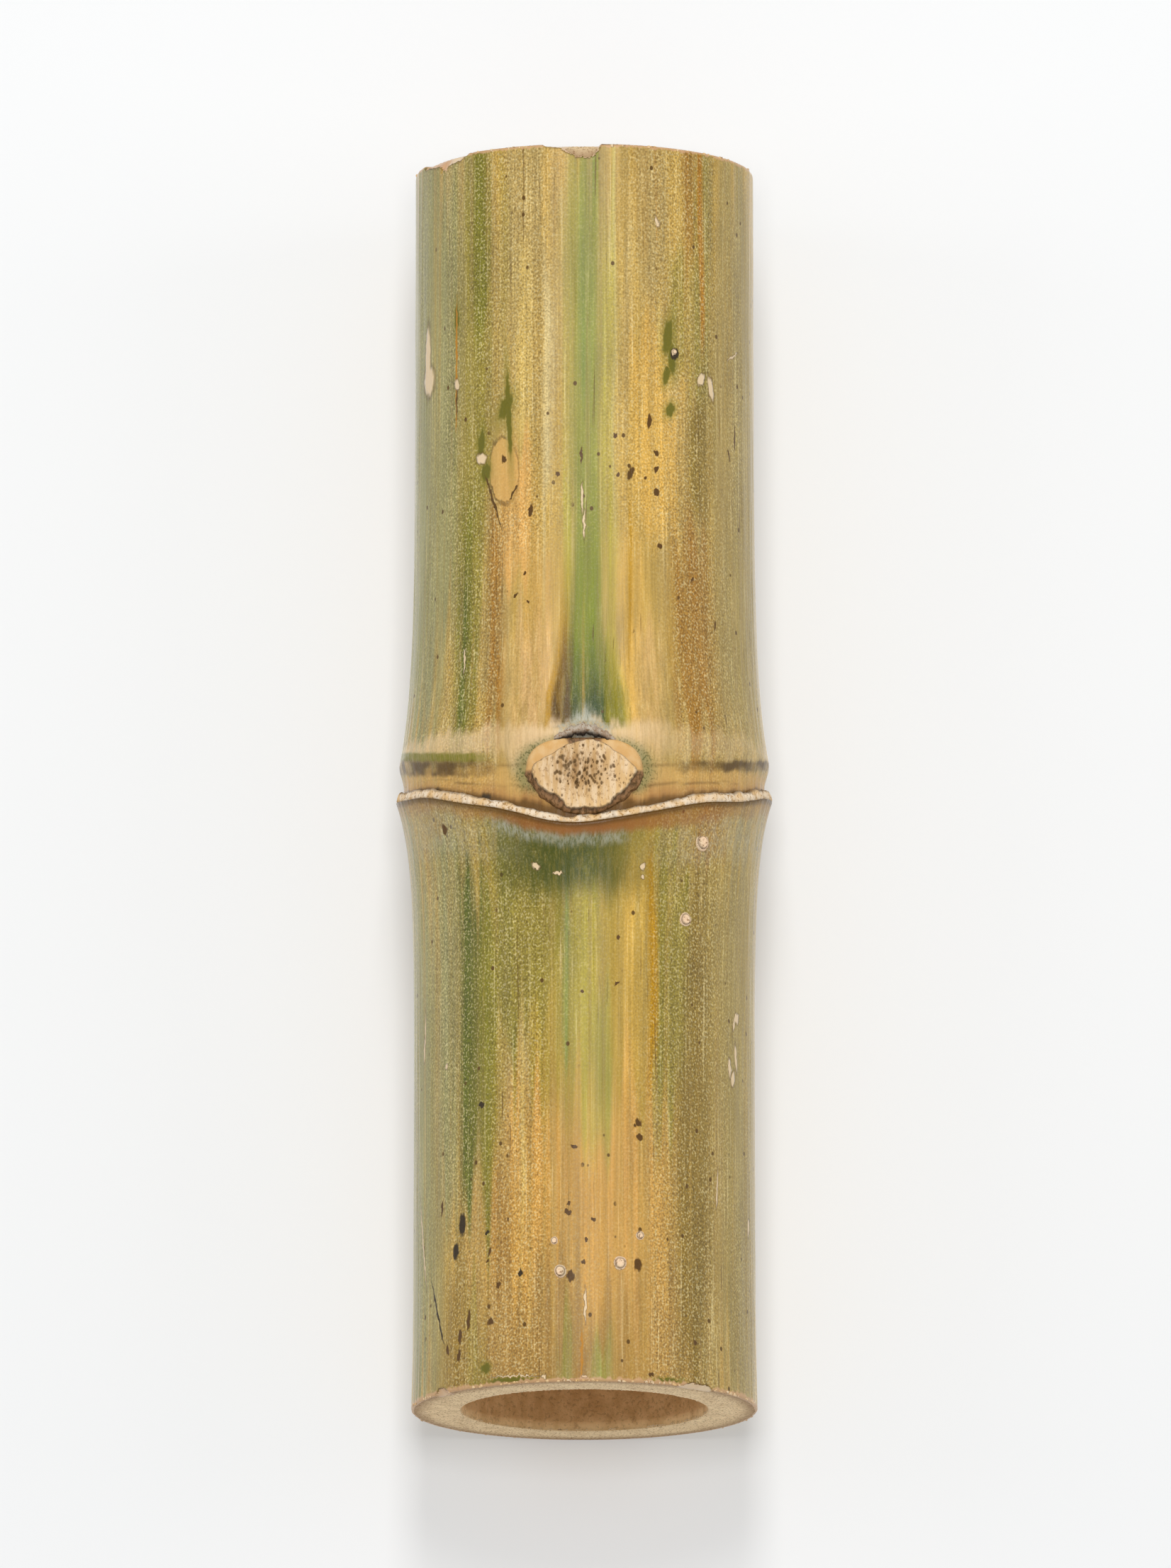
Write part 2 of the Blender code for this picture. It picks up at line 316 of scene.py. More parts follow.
LOWER_STREAKS = (
    ("amber", 0, 27.0, -30, 72, 0.75),
    ("olive_tan", 0, 27.0, 44, 118, 0.8),
    ("umber", 0, 27.0, -36, 26, 0.75),
    ("sage", -76, 12.0, -24, 120, 0.9),
    ("sage", -53, 5.0, 26, 120, 0.85),
    ("deep_moss", -41.5, 3.0, 30, 100, 1.0),
    ("moss", -36, 3.4, 20, 98, 0.75),
    ("olive_brown", -47, 4.8, -24, 36, 0.6),
    ("olive", -39, 2.2, -24, 24, 0.6),
    ("olive", -19, 6.5, 60, 106, 0.9),
    ("deep_moss", -27.5, 3.0, 58, 106, 0.75),
    ("moss", -20, 1.6, 66, 100, 0.6),
    ("moss", -9, 1.4, 74, 98, 0.6),
    ("brown", -29, 2.0, 10, 46, 0.6),
    ("straw", -21.5, 0.5, 20, 78, 0.6),
    ("olive", -5, 3.2, 48, 100, 0.75),
    ("blue_green", -6.5, 0.9, 56, 88, 0.5),
    ("yellow_green", 0.5, 3.2, 40, 98, 0.45),
    ("leaf", 6.5, 2.2, 36, 76, 0.55),
    ("olive", 3, 8.0, 82, 106, 0.75),
    ("gold", 17, 4.8, 46, 102, 0.5),
    ("deep_gold", 23.6, 1.2, 48, 98, 0.8),
    ("moss", 26.6, 1.1, 52, 96, 0.95),
    ("peach", 15, 4.4, 4, 56, 0.5),
    ("olive", 31, 3.4, 38, 106, 0.8),
    ("moss", 33.5, 2.4, 56, 92, 0.75),
    ("olive_brown", 39.5, 4.6, -24, 114, 0.95),
    ("khaki", 66, 13.0, -24, 120, 0.85),
    ("brown", 44, 5.0, 92, 112, 0.8),
    ("brown", -55, 4.5, 96, 112, 0.5),
    ("leaf", -6.2, 1.8, -24, 15, 0.6),
    ("leaf", 6.0, 2.0, -24, 14, 0.75),
    ("brown", -1.5, 1.2, -24, 12, 0.6),
)

# The green of the groove above the branch: paint, degrees from the front, half width, top in
# millimetres, strength
GROOVE_STREAKS = (
    ("yellow_green", 11.8, 1.7, 164, 0.85),
    ("deep_gold", -10.2, 1.5, 156, 0.95),
    ("grass", 1.2, 4.5, 178, 1.0),
    ("groove", 1.2, 4.5, 138, 0.85),
    ("groove_blue", 3.4, 2.6, 125, 0.7),
    ("groove_flank", -7.7, 1.8, 148, 0.95),
    ("groove_edge", 9.8, 1.8, 140, 0.9),
    ("groove_vein", -0.4, 0.32, 154, 0.6),
)
# The groove's width at these heights, as shares of its width at the foot
GROOVE_TAPER = ((0.116, 1.0), (0.123, 0.98), (0.128, 0.82), (0.137, 0.67), (0.160, 0.52))

# Marks on the skin: paint, degrees from the front, height, half width and half length in
# millimetres, lean in degrees
UPPER_MARKS = (
    ("chip", -68.0, 186.5, 1.10, 5.72, 3),
    ("chip", -67.0, 182.8, 2.20, 2.64, -6),
    ("burnt", -49.2, 184.0, 0.28, 12.0, 0),
    ("crack_and_shade", -49.0, 178.0, 0.20, 3.50, 0),
    ("stain", -49.2, 192.6, 0.65, 2.34, 0),
    ("chip", -49.0, 180.6, 0.61, 0.99, 0),
    ("stain", 29.2, 187.8, 0.91, 3.38, 8),
    ("stain", 30.8, 183.9, 0.78, 2.86, -4),
    ("soot_and_shade", 31.9, 185.0, 0.83, 1.04, 0),
    ("chip", 31.6, 185.3, 0.39, 0.44, 0),
    ("stain", 28.8, 180.9, 0.72, 1.69, 12),
    ("stain", 30.2, 174.8, 0.91, 1.30, 30),
    ("stain", -26.5, 173.8, 0.52, 8.06, -3),
    ("stain", -27.6, 175.2, 1.17, 2.47, 24),
    ("chip", 43.2, 181.0, 0.77, 1.21, 30),
    ("chip", 47.8, 179.8, 0.66, 2.09, -14),
    ("chip", 60.6, 186.6, 0.22, 1.98, 62),
    ("chip", 25.3, 208.4, 0.39, 0.99, -20),
    ("stain", -37.3, 169.4, 0.72, 2.34, 4),
    ("chip", -37.4, 166.4, 1.04, 0.99, 20),
    ("stain", -35.4, 163.8, 0.91, 1.69, 10),
    ("fleck", -28.4, 165.8, 0.46, 0.66, 0),
    ("fleck", -18.4, 156.2, 0.40, 1.10, 12),
    ("fleck", -23.4, 141.2, 0.55, 0.46, 0),
    ("fleck", -9.0, 162.6, 0.33, 0.55, 0),
    ("fleck", 22.3, 172.4, 0.44, 1.21, 6),
    ("fleck", 24.7, 166.7, 0.46, 0.46, 0),
    ("fleck", 24.7, 163.8, 0.55, 0.61, 0),
    ("fleck", 20.8, 162.2, 0.33, 0.37, 0),
    ("fleck", 24.9, 159.8, 0.61, 0.66, 0),
    ("fleck", 26.0, 150.1, 0.40, 0.46, 0),
    ("fleck", 10.6, 169.6, 0.31, 0.55, 30),
    ("fleck", 11.3, 162.4, 0.29, 0.44, 0),
    ("crack_and_shade", 15.6, 162.6, 0.66, 1.32, 20),
    ("fleck", -20.4, 144.8, 0.29, 0.37, 0),
    ("fleck", -19.0, 139.8, 0.29, 0.37, 0),
    ("fleck", 38.4, 144.6, 0.33, 0.40, 0),
    ("chip", -0.8, 158.2, 0.24, 2.64, 0),
    ("chip", 0.0, 153.6, 0.24, 2.42, 0),
    ("fleck", -1.0, 166.0, 0.24, 1.54, 0),
    ("chip", -43.2, 130.4, 0.20, 1.98, 0),
    ("peel", -28.3, 163.8, 2.80, 5.70, -4),
    ("crack_and_shade", -32.3, 158.4, 0.22, 5.40, -20),
    ("crack_and_shade", -24.6, 159.8, 0.20, 1.60, 30),
    ("fleck", 62.0, 172.0, 0.26, 2.20, 0),
    ("fleck", 58.0, 168.4, 0.24, 1.32, -10),
    ("fleck", 48.6, 137.2, 0.26, 0.88, 0),
)

LOWER_MARKS = (
    ("fleck", -51.0, 100.6, 0.66, 1.10, 0),
    ("chip", -15.9, 92.2, 0.83, 0.46, 35),
    ("chip", -8.8, 90.7, 0.77, 0.22, 0),
    ("chip", 19.2, 92.3, 0.46, 0.55, 0),
    ("chip", 19.2, 90.4, 0.35, 0.40, 0),
    ("fleck", 11.2, 79.4, 0.37, 0.40, 0),
    ("fleck", 10.9, 71.3, 0.55, 0.29, -30),
    ("fleck", -0.8, 69.9, 0.26, 0.37, 0),
    ("chip", 62.4, 67.7, 0.83, 1.04, 20),
    ("chip", 60.4, 66.6, 0.31, 1.32, 12),
    ("chip", 61.9, 60.6, 0.42, 2.31, -8),
    ("chip", 57.8, 58.6, 0.46, 1.65, -6),
    ("chip", 59.8, 56.7, 0.55, 1.43, 10),
    ("chip", -54.0, 58.4, 0.40, 0.44, 0),
    ("chip", -68.8, 66.0, 0.24, 3.08, 4),
    ("chip", -70.0, 62.6, 0.29, 2.09, 0),
    ("soot_and_shade", -37.2, 50.6, 0.61, 0.46, 0),
    ("fleck", 18.4, 46.6, 0.65, 0.72, 0),
    ("fleck", 18.7, 43.9, 0.59, 0.65, 0),
    ("fleck", 17.2, 45.8, 0.26, 0.29, 0),
    ("fleck", -3.4, 42.0, 0.81, 0.42, 24),
    ("chip", 50.4, 36.4, 0.24, 3.30, 4),
    ("soot_and_shade", -45.6, 29.6, 0.83, 1.98, 4),
    ("soot_and_shade", -48.6, 25.1, 0.77, 1.43, 8),
    ("fleck", -56.4, 33.4, 0.33, 1.32, 6),
    ("soot_and_shade", -34.6, 27.6, 0.46, 0.51, 0),
    ("fleck", -33.6, 24.2, 0.33, 0.88, 20),
    ("fleck", -34.2, 22.6, 0.31, 0.33, 0),
    ("fleck", -30.2, 18.0, 0.47, 0.52, 0),
    ("soot_and_shade", -21.9, 19.9, 0.53, 0.55, 0),
    ("fleck", -5.2, 31.8, 0.33, 0.55, 30),
    ("fleck", 3.1, 28.9, 0.46, 0.51, 0),
    ("fleck", 18.0, 21.2, 0.72, 1.17, 0),
    ("fleck", -4.6, 18.9, 0.72, 0.98, 0),
    ("fleck", -0.4, 21.4, 0.37, 0.33, 0),
    ("fleck", 0.6, 25.4, 0.29, 0.33, 0),
    ("fleck", -5.6, 30.4, 0.65, 0.44, 20),
    ("fleck", -26.4, 29.4, 0.24, 0.40, 0),
    ("chip", -70.5, 28.0, 0.29, 7.48, -12),
    ("soot_and_shade", -59.0, 15.0, 0.24, 7.04, -20),
    ("fleck", -52.6, 7.6, 0.46, 0.77, -20),
    ("fleck", -42.4, 12.4, 0.39, 1.82, 6),
    ("fleck", -46.2, 9.6, 0.47, 1.43, 4),
    ("fleck", -46.7, 6.4, 0.39, 1.17, 0),
    ("stain", -34.9, 3.4, 0.90, 0.90, 0),
    ("fleck", -33.0, 11.6, 0.65, 0.65, 0),
    ("chip", 0.3, 13.6, 0.22, 3.00, 0),
    ("burnt", -0.9, 4.6, 0.24, 4.60, 0),
    ("stain", -25.0, 0.7, 4.50, 0.50, 2),
    ("chip", -24.0, 1.45, 4.40, 0.13, 2),
    ("stain", 28.5, 0.8, 2.30, 0.36, -4),
    ("chip", -13.5, 0.9, 0.45, 0.32, 0),
    ("chip", 0.0, 0.9, 0.40, 0.30, 0),
    ("chip", 72.8, 31.2, 0.46, 1.54, 10),
    ("soot_and_shade", 73.6, 32.0, 0.33, 1.10, 10),
    ("fleck", 39.8, 8.2, 0.46, 0.55, 0),
    ("fleck", 22.6, 1.6, 0.55, 0.44, 10),
)

# Healed knobs on the skin: degrees from the front, height, radius and rise in millimetres
KNOBS = (
    (41.0, 97.6, 1.35, 0.6),
    (35.6, 83.6, 1.1, 0.55),
    (-10.1, 25.3, 0.62, 0.35),
    (-8.0, 19.8, 1.05, 0.6),
    (18.8, 26.4, 0.72, 0.4),
    (11.9, 21.3, 1.1, 0.45),
    (31.8, 185.3, 0.45, 0.25),
)


# Shapes in the cane's own frame


def plain_radius(height):
    """An even taper, with a faint swell that dies away from the lower end."""
    taper = LOWER_RADIUS + (UPPER_RADIUS - LOWER_RADIUS) * height / CANE_LENGTH
    return taper + END_SWELL * np.exp(-height / END_SWELL_REACH)


def lower_skin_radius(height):
    """The plain radius, plus a flare that grows as an exponential up to the ring's edge."""
    flare = RING_RADIUS - plain_radius(RING_HEIGHT)
    return plain_radius(height) + flare * np.exp((height - RING_HEIGHT) / LOWER_FLARE_REACH)


def upper_skin_radius(height):
    """Above the ridge an exponential fall to the plain radius, below it a soft step to the waist."""
    flare = RIDGE_RADIUS - plain_radius(RIDGE_HEIGHT)
    above = plain_radius(height) + flare * np.exp((RIDGE_HEIGHT - height) / UPPER_FLARE_REACH)
    step = np.clip((height - WAIST_HEIGHT) / (RIDGE_HEIGHT - WAIST_HEIGHT), 0, 1)
    step = step * step * (3 - 2 * step)
    below = WAIST_RADIUS + (RIDGE_RADIUS - WAIST_RADIUS) * step
    return np.where(height > RIDGE_HEIGHT, above, below)


def ring_shift(angle):
    """A squared cosine fall towards the front, a bell dip under the branch, and a slight waver."""
    facing = (1 + np.cos(angle)) / 2
    dip = RING_BRANCH_DIP * np.exp(-((angle / RING_DIP_ANGLE) ** 2))
    waver = RING_WAVER * (np.sin(5 * angle + 0.6) + 0.6 * np.sin(11 * angle))
    return RING_BACK_RISE - RING_FRONT_FALL * facing**2 - dip + waver


def pulled_height(angle, height):
    """The height after growth: the ring's shift, faded out linearly below it and above it."""
    low = RING_HEIGHT - 0.0012
    high = RING_HEIGHT + RING_THICKNESS + 0.0001
    return height + np.interp(height, [PULL_START, low, high, PULL_END], [0, 1, 1, 0]) * ring_shift(angle)


def ring_swell(angle):
    """How thick the scar ring is, as a share: thinnest under the branch."""
    return 1.05 + 0.35 * (1 - np.exp(-np.abs(angle / 0.5) ** 3))


def groove_depth(angle, height, radius):
    """A flat-bottomed groove, deep above the branch and shallow at the top."""
    along = np.clip((height - GROOVE_START) / (GROOVE_FULL - GROOVE_START), 0, 1)
    depth = np.interp(height, [GROOVE_FULL, CANE_LENGTH], [GROOVE_DEPTH, GROOVE_TOP_DEPTH])
    return along * depth * np.exp(-((angle * radius / GROOVE_HALF_WIDTH) ** 4))


def ovalled(angle, radius):
    """The radius, swollen a little along one direction and thinned across it."""
    return radius + OVAL * np.cos(2 * (angle - OVAL_DIRECTION))


def soft_band(value, low, high, fade):
    """1 between low and high, easing to 0 over the fade on either side."""
    rise = np.clip((value - low) / fade + 1, 0, 1)
    fall = np.clip((high - value) / fade + 1, 0, 1)
    share = np.minimum(rise, fall)
    return share * share * (3 - 2 * share)


def along_line(line, places):
    """The height over each place of a line that is given by its corners."""
    corners = np.array(line)
    return np.interp(places, corners[:, 0], corners[:, 1])


def wander(angle, height, cells_round, cell_length, seed):
    """Smooth noise from -1 to 1 on a lattice that closes round the cane, eased between its points."""
    draw = np.random.default_rng(seed)
    rows = int((CANE_LENGTH + 0.02) / cell_length) + 4
    lattice = draw.uniform(-1, 1, (rows, cells_round))
    across = (angle / (2 * math.pi) + 0.5) * cells_round
    along = np.clip((height + 0.01) / cell_length, 0, rows - 2.001)
    column = np.floor(across).astype(int)
    row = np.floor(along).astype(int)
    u = across - column
    v = along - row
    u = u * u * (3 - 2 * u)
    v = v * v * (3 - 2 * v)
    left, right = column % cells_round, (column + 1) % cells_round
    low = lattice[row, left] * (1 - u) + lattice[row, right] * u
    high = lattice[row + 1, left] * (1 - u) + lattice[row + 1, right] * u
    return low * (1 - v) + high * v


def resting_place():
    """The tilt that brings ring and lower rim to the floor, and the shift that centres the box."""
    back_ring = RING_HEIGHT + float(ring_shift(np.array(math.pi)))
    lower = float(lower_skin_radius(0.0))
    tilt = math.atan2(RING_RADIUS - lower, back_ring)
    lowest = back_ring * math.sin(tilt) - RING_RADIUS * math.cos(tilt)
    low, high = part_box(CANE_NODE)
    middle = CANE_LENGTH * math.cos(tilt) / 2
    return tilt, (low.y + high.y) / 2 - middle, -lowest - WORN_DEPTH


TILT, SHIFT_Y, SHIFT_Z = resting_place()


def lay_down(angle, height, radius):
    """From angle, height and radius to where the cane lies, worn flat where it meets the floor."""
    side = radius * np.sin(angle)
    front = radius * np.cos(angle)
    y = height * math.cos(TILT) - front * math.sin(TILT) + SHIFT_Y
    z = height * math.sin(TILT) + front * math.cos(TILT) + SHIFT_Z
    return np.stack([side, y, np.maximum(z, 0.0)], axis=-1)


def lay_block(side, height, out):
    """The same, for a piece given by its sideways, lengthwise and outward places."""
    y = height * math.cos(TILT) - out * math.sin(TILT) + SHIFT_Y
    z = height * math.sin(TILT) + out * math.cos(TILT) + SHIFT_Z
    return np.stack([side, y, z], axis=-1)


def whole_turn(columns):
    """Angles all round the cane, evenly spaced from its back."""
    return np.linspace(-math.pi, math.pi, columns, endpoint=False)


def spread(values, columns):
    """One value for each row, the same in all of the row's columns."""
    return np.broadcast_to(np.asarray(values)[:, None], (len(values), columns))


def columns_round(front_count, back_count):
    """Angles round the cane, close together on the front half. The first is the back seam."""
    half = math.radians(96)
    front = np.linspace(-half, half, front_count, endpoint=False)
    back = np.linspace(half, 2 * math.pi - half, back_count, endpoint=False)
    angles = np.concatenate([front, back])
    return np.sort((angles + math.pi) % (2 * math.pi) - math.pi)


# Meshes from grids


def grid_faces(rows, columns, wrap_rows, wrap_columns):
    """Corner numbers of the quads between neighbouring rows and columns of a grid."""
    row = np.arange(rows if wrap_rows else rows - 1)[:, None]
    column = np.arange(columns if wrap_columns else columns - 1)[None, :]
    next_row = (row + 1) % rows
    next_column = (column + 1) % columns
    corners = [row * columns + column, row * columns + next_column]
    corners += [next_row * columns + next_column, next_row * columns + column]
    return np.stack(np.broadcast_arrays(*corners), axis=-1).reshape(-1, 4)


def make_mesh(name, points, faces):
    """A mesh from an array of points, three numbers each, and an array of quads."""
    mesh = bpy.data.meshes.new(name)
    points = np.ascontiguousarray(points, dtype=np.float32)
    mesh.vertices.add(points.size // 3)
    mesh.vertices.foreach_set("co", points.ravel())
    mesh.loops.add(faces.size)
    mesh.loops.foreach_set("vertex_index", faces.astype(np.int32).ravel())
    mesh.polygons.add(len(faces))
    mesh.polygons.foreach_set("loop_start", np.arange(0, faces.size, faces.shape[1], dtype=np.int32))
    mesh.update(calc_edges=True)
    mesh.validate()
    mesh.shade_smooth()
    return mesh


def add_values(mesh, **values):
    """Gives every point a number under each name. A single number counts for all of them."""
    for name, numbers in values.items():
        attribute = mesh.attributes.new(name, "FLOAT", "POINT")
        numbers = np.asarray(numbers, dtype=np.float32).reshape(-1)
        numbers = np.broadcast_to(numbers, len(mesh.vertices))
        attribute.data.foreach_set("value", np.ascontiguousarray(numbers))


def add_place_map(mesh, angles, heights):
    """The skin's own map: arc from the front and height, in millimetres, cut open at the back seam."""
    arc = angles * LOWER_RADIUS / MM
    wrapped = np.append(arc, arc[0] + 2 * math.pi * LOWER_RADIUS / MM)
    left, right = wrapped[:-1], wrapped[1:]
    above = np.roll(heights, -1, axis=0)
    beside = np.roll(heights, -1, axis=1)
    above_beside = np.roll(above, -1, axis=1)
    corners = np.zeros((*heights.shape, 4, 3), dtype=np.float32)
    around = ((left, heights), (right, beside), (right, above_beside), (left, above))
    for corner, (across, along) in enumerate(around):
        corners[:, :, corner, 0] = across
        corners[:, :, corner, 1] = along / MM
    attribute = mesh.attributes.new("skin_place", "FLOAT_VECTOR", "CORNER")
    attribute.data.foreach_set("vector", corners.ravel())


def close_poles(mesh, turn_out=True):
    """Joins the points that meet at a pole and turns the faces of a closed shape outwards."""
    shape = bmesh.new()
    shape.from_mesh(mesh)
    bmesh.ops.remove_doubles(shape, verts=shape.verts, dist=0.000001)
    bmesh.ops.dissolve_degenerate(shape, edges=shape.edges, dist=0.0000005)
    if turn_out:
        bmesh.ops.recalc_face_normals(shape, faces=shape.faces)
    shape.to_mesh(mesh)
    shape.free()
    mesh.shade_smooth()


def show(name, mesh, material):
    """Puts a finished mesh into the scene as a piece of the cane."""
    piece = bpy.data.objects.new(name, mesh)
    bpy.context.scene.collection.objects.link(piece)
    mesh.materials.append(material)
    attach(piece, BODY)
    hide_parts(CANE_NODE)
    return piece


# Materials from nodes


def seen(paint):
    """A palette colour as linear light, from its value on screen."""
    values = np.array(PAINTS[paint]) / 255
    linear = np.where(values <= 0.04045, values / 12.92, ((values + 0.055) / 1.055) ** 2.4)
    return (*[float(v) for v in linear], 1.0)


def new_material(name):
    """A material with its node tree and its shader."""
    material = bpy.data.materials.new(name)
    material.use_nodes = True
    tree = material.node_tree
    return material, tree, tree.nodes["Principled BSDF"]


def put(tree, socket, value):
    """Links another node's output to the socket, or sets a plain value on it."""
    if isinstance(value, bpy.types.NodeSocket):
        tree.links.new(value, socket)
    else:
        socket.default_value = value


def sum_up(tree, operation, first, second):
    """One step of arithmetic."""
    node = tree.nodes.new("ShaderNodeMath")
    node.operation = operation
    put(tree, node.inputs[0], first)
    put(tree, node.inputs[1], second)
    return node.outputs[0]


def times(tree, first, second):
    """The product of two values."""
    return sum_up(tree, "MULTIPLY", first, second)


def ease(tree, value, low, high, out_low=0.0, out_high=1.0):
    """A soft step from out_low to out_high, as the value goes from low to high."""
    node = tree.nodes.new("ShaderNodeMapRange")
    node.interpolation_type = "SMOOTHSTEP"
    put(tree, node.inputs["Value"], value)
    node.inputs["From Min"].default_value = low
    node.inputs["From Max"].default_value = high
    node.inputs["To Min"].default_value = out_low
    node.inputs["To Max"].default_value = out_high
    return node.outputs["Result"]


def blend_paint(tree, share, under, over, kind="MIX"):
    """Lays one colour over another, by its share."""
    node = tree.nodes.new("ShaderNodeMix")
    node.data_type = "RGBA"
    node.blend_type = kind
    put(tree, node.inputs["Factor"], share)
    put(tree, node.inputs[6], under)
    put(tree, node.inputs[7], over)
    return node.outputs[2]


def cane_space(tree, across, along, offset=(0.0, 0.0, 0.0)):
    """Object coordinates turned to lie along the cane, at so many units a metre each way."""
    place = tree.nodes.new("ShaderNodeTexCoord")
    turn = tree.nodes.new("ShaderNodeMapping")
    turn.inputs["Rotation"].default_value = (-TILT, 0.0, 0.0)
    scale = tree.nodes.new("ShaderNodeMapping")
    scale.inputs["Scale"].default_value = (across, along, across)
    scale.inputs["Location"].default_value = offset
    tree.links.new(place.outputs["Object"], turn.inputs["Vector"])
    tree.links.new(turn.outputs[0], scale.inputs["Vector"])
    return scale.outputs[0]


def noise(tree, vector, detail=2.0, roughness=0.5, output="Fac"):
    """Soft noise over the place that the vector gives."""
    node = tree.nodes.new("ShaderNodeTexNoise")
    node.inputs["Scale"].default_value = 1.0
    node.inputs["Detail"].default_value = detail
    node.inputs["Roughness"].default_value = roughness
    tree.links.new(vector, node.inputs["Vector"])
    return node.outputs[output]


def dot_distance(tree, vector):
    """The distance to the nearest of many scattered points."""
    node = tree.nodes.new("ShaderNodeTexVoronoi")
    node.inputs["Scale"].default_value = 1.0
    tree.links.new(vector, node.inputs["Vector"])
    return node.outputs["Distance"]


def named(tree, name, output="Fac"):
    """A value that the mesh carries under this name."""
    node = tree.nodes.new("ShaderNodeAttribute")
    node.attribute_name = name
    return node.outputs[output]


def bump(tree, height, distance, strength, under=None):
    """Fine relief from a height between 0 and 1, over the relief under it."""
    node = tree.nodes.new("ShaderNodeBump")
    node.inputs["Strength"].default_value = strength
    node.inputs["Distance"].default_value = distance
    tree.links.new(height, node.inputs["Height"])
    if under is not None:
        tree.links.new(under, node.inputs["Normal"])
    return node.outputs["Normal"]


def dress(tree, shader, colour, roughness, relief):
    """Gives the shader its colour, roughness and relief."""
    put(tree, shader.inputs["Base Color"], colour)
    put(tree, shader.inputs["Roughness"], roughness)
    put(tree, shader.inputs["Normal"], relief)


def mark_share(tree, place, marks):
    """How far a place is inside the nearest of the marks: each is an ellipse that leans."""
    nearest = None
    for degrees, height, half_width, half_length, lean in marks:
        node = tree.nodes.new("ShaderNodeMapping")
        node.vector_type = "TEXTURE"
        arc = math.radians(degrees) * LOWER_RADIUS / MM
        node.inputs["Location"].default_value = (arc, height, 0.0)
        node.inputs["Rotation"].default_value = (0.0, 0.0, math.radians(-lean))
        node.inputs["Scale"].default_value = (half_width, half_length, 1.0)
        tree.links.new(place, node.inputs["Vector"])
        length = tree.nodes.new("ShaderNodeVectorMath")
        length.operation = "LENGTH"
        tree.links.new(node.outputs[0], length.inputs[0])
        reach = length.outputs["Value"]
        nearest = reach if nearest is None else sum_up(tree, "MINIMUM", nearest, reach)
    return nearest


def brighten(tree, colour, *factors):
    """Scales a colour by each of several factors."""
    for factor in factors:
        node = tree.nodes.new("ShaderNodeVectorMath")
        node.operation = "SCALE"
        tree.links.new(colour, node.inputs[0])
        put(tree, node.inputs["Scale"], factor)
        colour = node.outputs["Vector"]
    return colour


def skin_noises(tree):
    """The noises that break up the skin's colours. All but the grit and dots are drawn out lengthwise."""
    return SimpleNamespace(
        grain=noise(tree, cane_space(tree, 900.0, 9.0), 4.0, 0.6),
        fine=noise(tree, cane_space(tree, 2600.0, 36.0, (3.0, 0.0, 1.0)), 3.0, 0.6),
        broad=noise(tree, cane_space(tree, 240.0, 12.0, (7.0, 2.0, 0.0)), 3.0, 0.55),
        grit=noise(tree, cane_space(tree, 3300.0, 2600.0), 1.0, 0.5),
        dots=noise(tree, cane_space(tree, 3000.0, 2500.0, (5.0, 1.0, 3.0)), 0.0, 0.5),
        cloud=noise(tree, cane_space(tree, 160.0, 60.0, (0.0, 5.0, 2.0)), 3.0, 0.55),
        scores=noise(tree, cane_space(tree, 2100.0, 70.0, (4.0, 0.0, 6.0)), 1.0, 0.5),
        frost=noise(tree, cane_space(tree, 2200.0, 420.0, (1.0, 4.0, 0.0)), 4.0, 0.65),
    )


def streaked_skin(tree, noises, paints):
    """Dry tan with the painted streaks over it, broken up by the grain."""
    colour = blend_paint(tree, ease(tree, noises.broad, 0.36, 0.66), seen("tan"), seen("dry_tan"))
    broken = ease(tree, noises.grain, 0.30, 0.66, 0.62, 1.2)
    for paint in paints:
        weight = times(tree, named(tree, "paint_" + paint), broken)
        colour = blend_paint(tree, ease(tree, weight, 0.0, 1.0), colour, seen(paint))
    return colour


def stippled_skin(tree, noises, colour):
    """Pale lines, pale dots and dark dots where the stipple is strong, and a soft unevenness."""
    stipple = named(tree, "stipple")
    lines = times(tree, ease(tree, noises.fine, 0.58, 0.74), ease(tree, stipple, 0.0, 0.5, 0.12, 0.42))
    colour = blend_paint(tree, lines, colour, seen("pale"))
    light_dots = times(tree, ease(tree, noises.dots, 0.56, 0.72), times(tree, stipple, 0.42))
    colour = blend_paint(tree, light_dots, colour, seen("pale"))
    dark_dots = times(tree, ease(tree, noises.dots, 0.42, 0.26), times(tree, stipple, 0.40))
    colour = blend_paint(tree, dark_dots, colour, seen("olive_brown"), "MULTIPLY")
    speckle = times(tree, ease(tree, noises.grit, 0.28, 0.72, -0.25, 0.24), stipple)
    return brighten(
        tree, colour, sum_up(tree, "ADD", speckle, 1.0), ease(tree, noises.fine, 0.25, 0.75, 0.86, 1.10),
        ease(tree, noises.grain, 0.25, 0.75, 0.90, 1.09), ease(tree, noises.cloud, 0.25, 0.75, 0.90, 1.08),
    )


def freckled_skin(tree, noises, colour):
    """Brown freckles in patches, and short fine scores along the cane."""
    freckles = dot_distance(tree, cane_space(tree, 270.0, 210.0, (2.0, 3.0, 1.0)))
    freckles = ease(tree, freckles, 0.110, 0.065, 0.0, 0.95)
    freckles = times(tree, freckles, ease(tree, noises.cloud, 0.42, 0.50))
    colour = blend_paint(tree, freckles, colour, seen("crack_and_shade"))
    scores = ease(tree, noises.scores, 0.68, 0.74, 0.0, 0.6)
    scores = times(tree, scores, ease(tree, noises.broad, 0.50, 0.60))
    return blend_paint(tree, scores, colour, seen("crack_and_shade"))


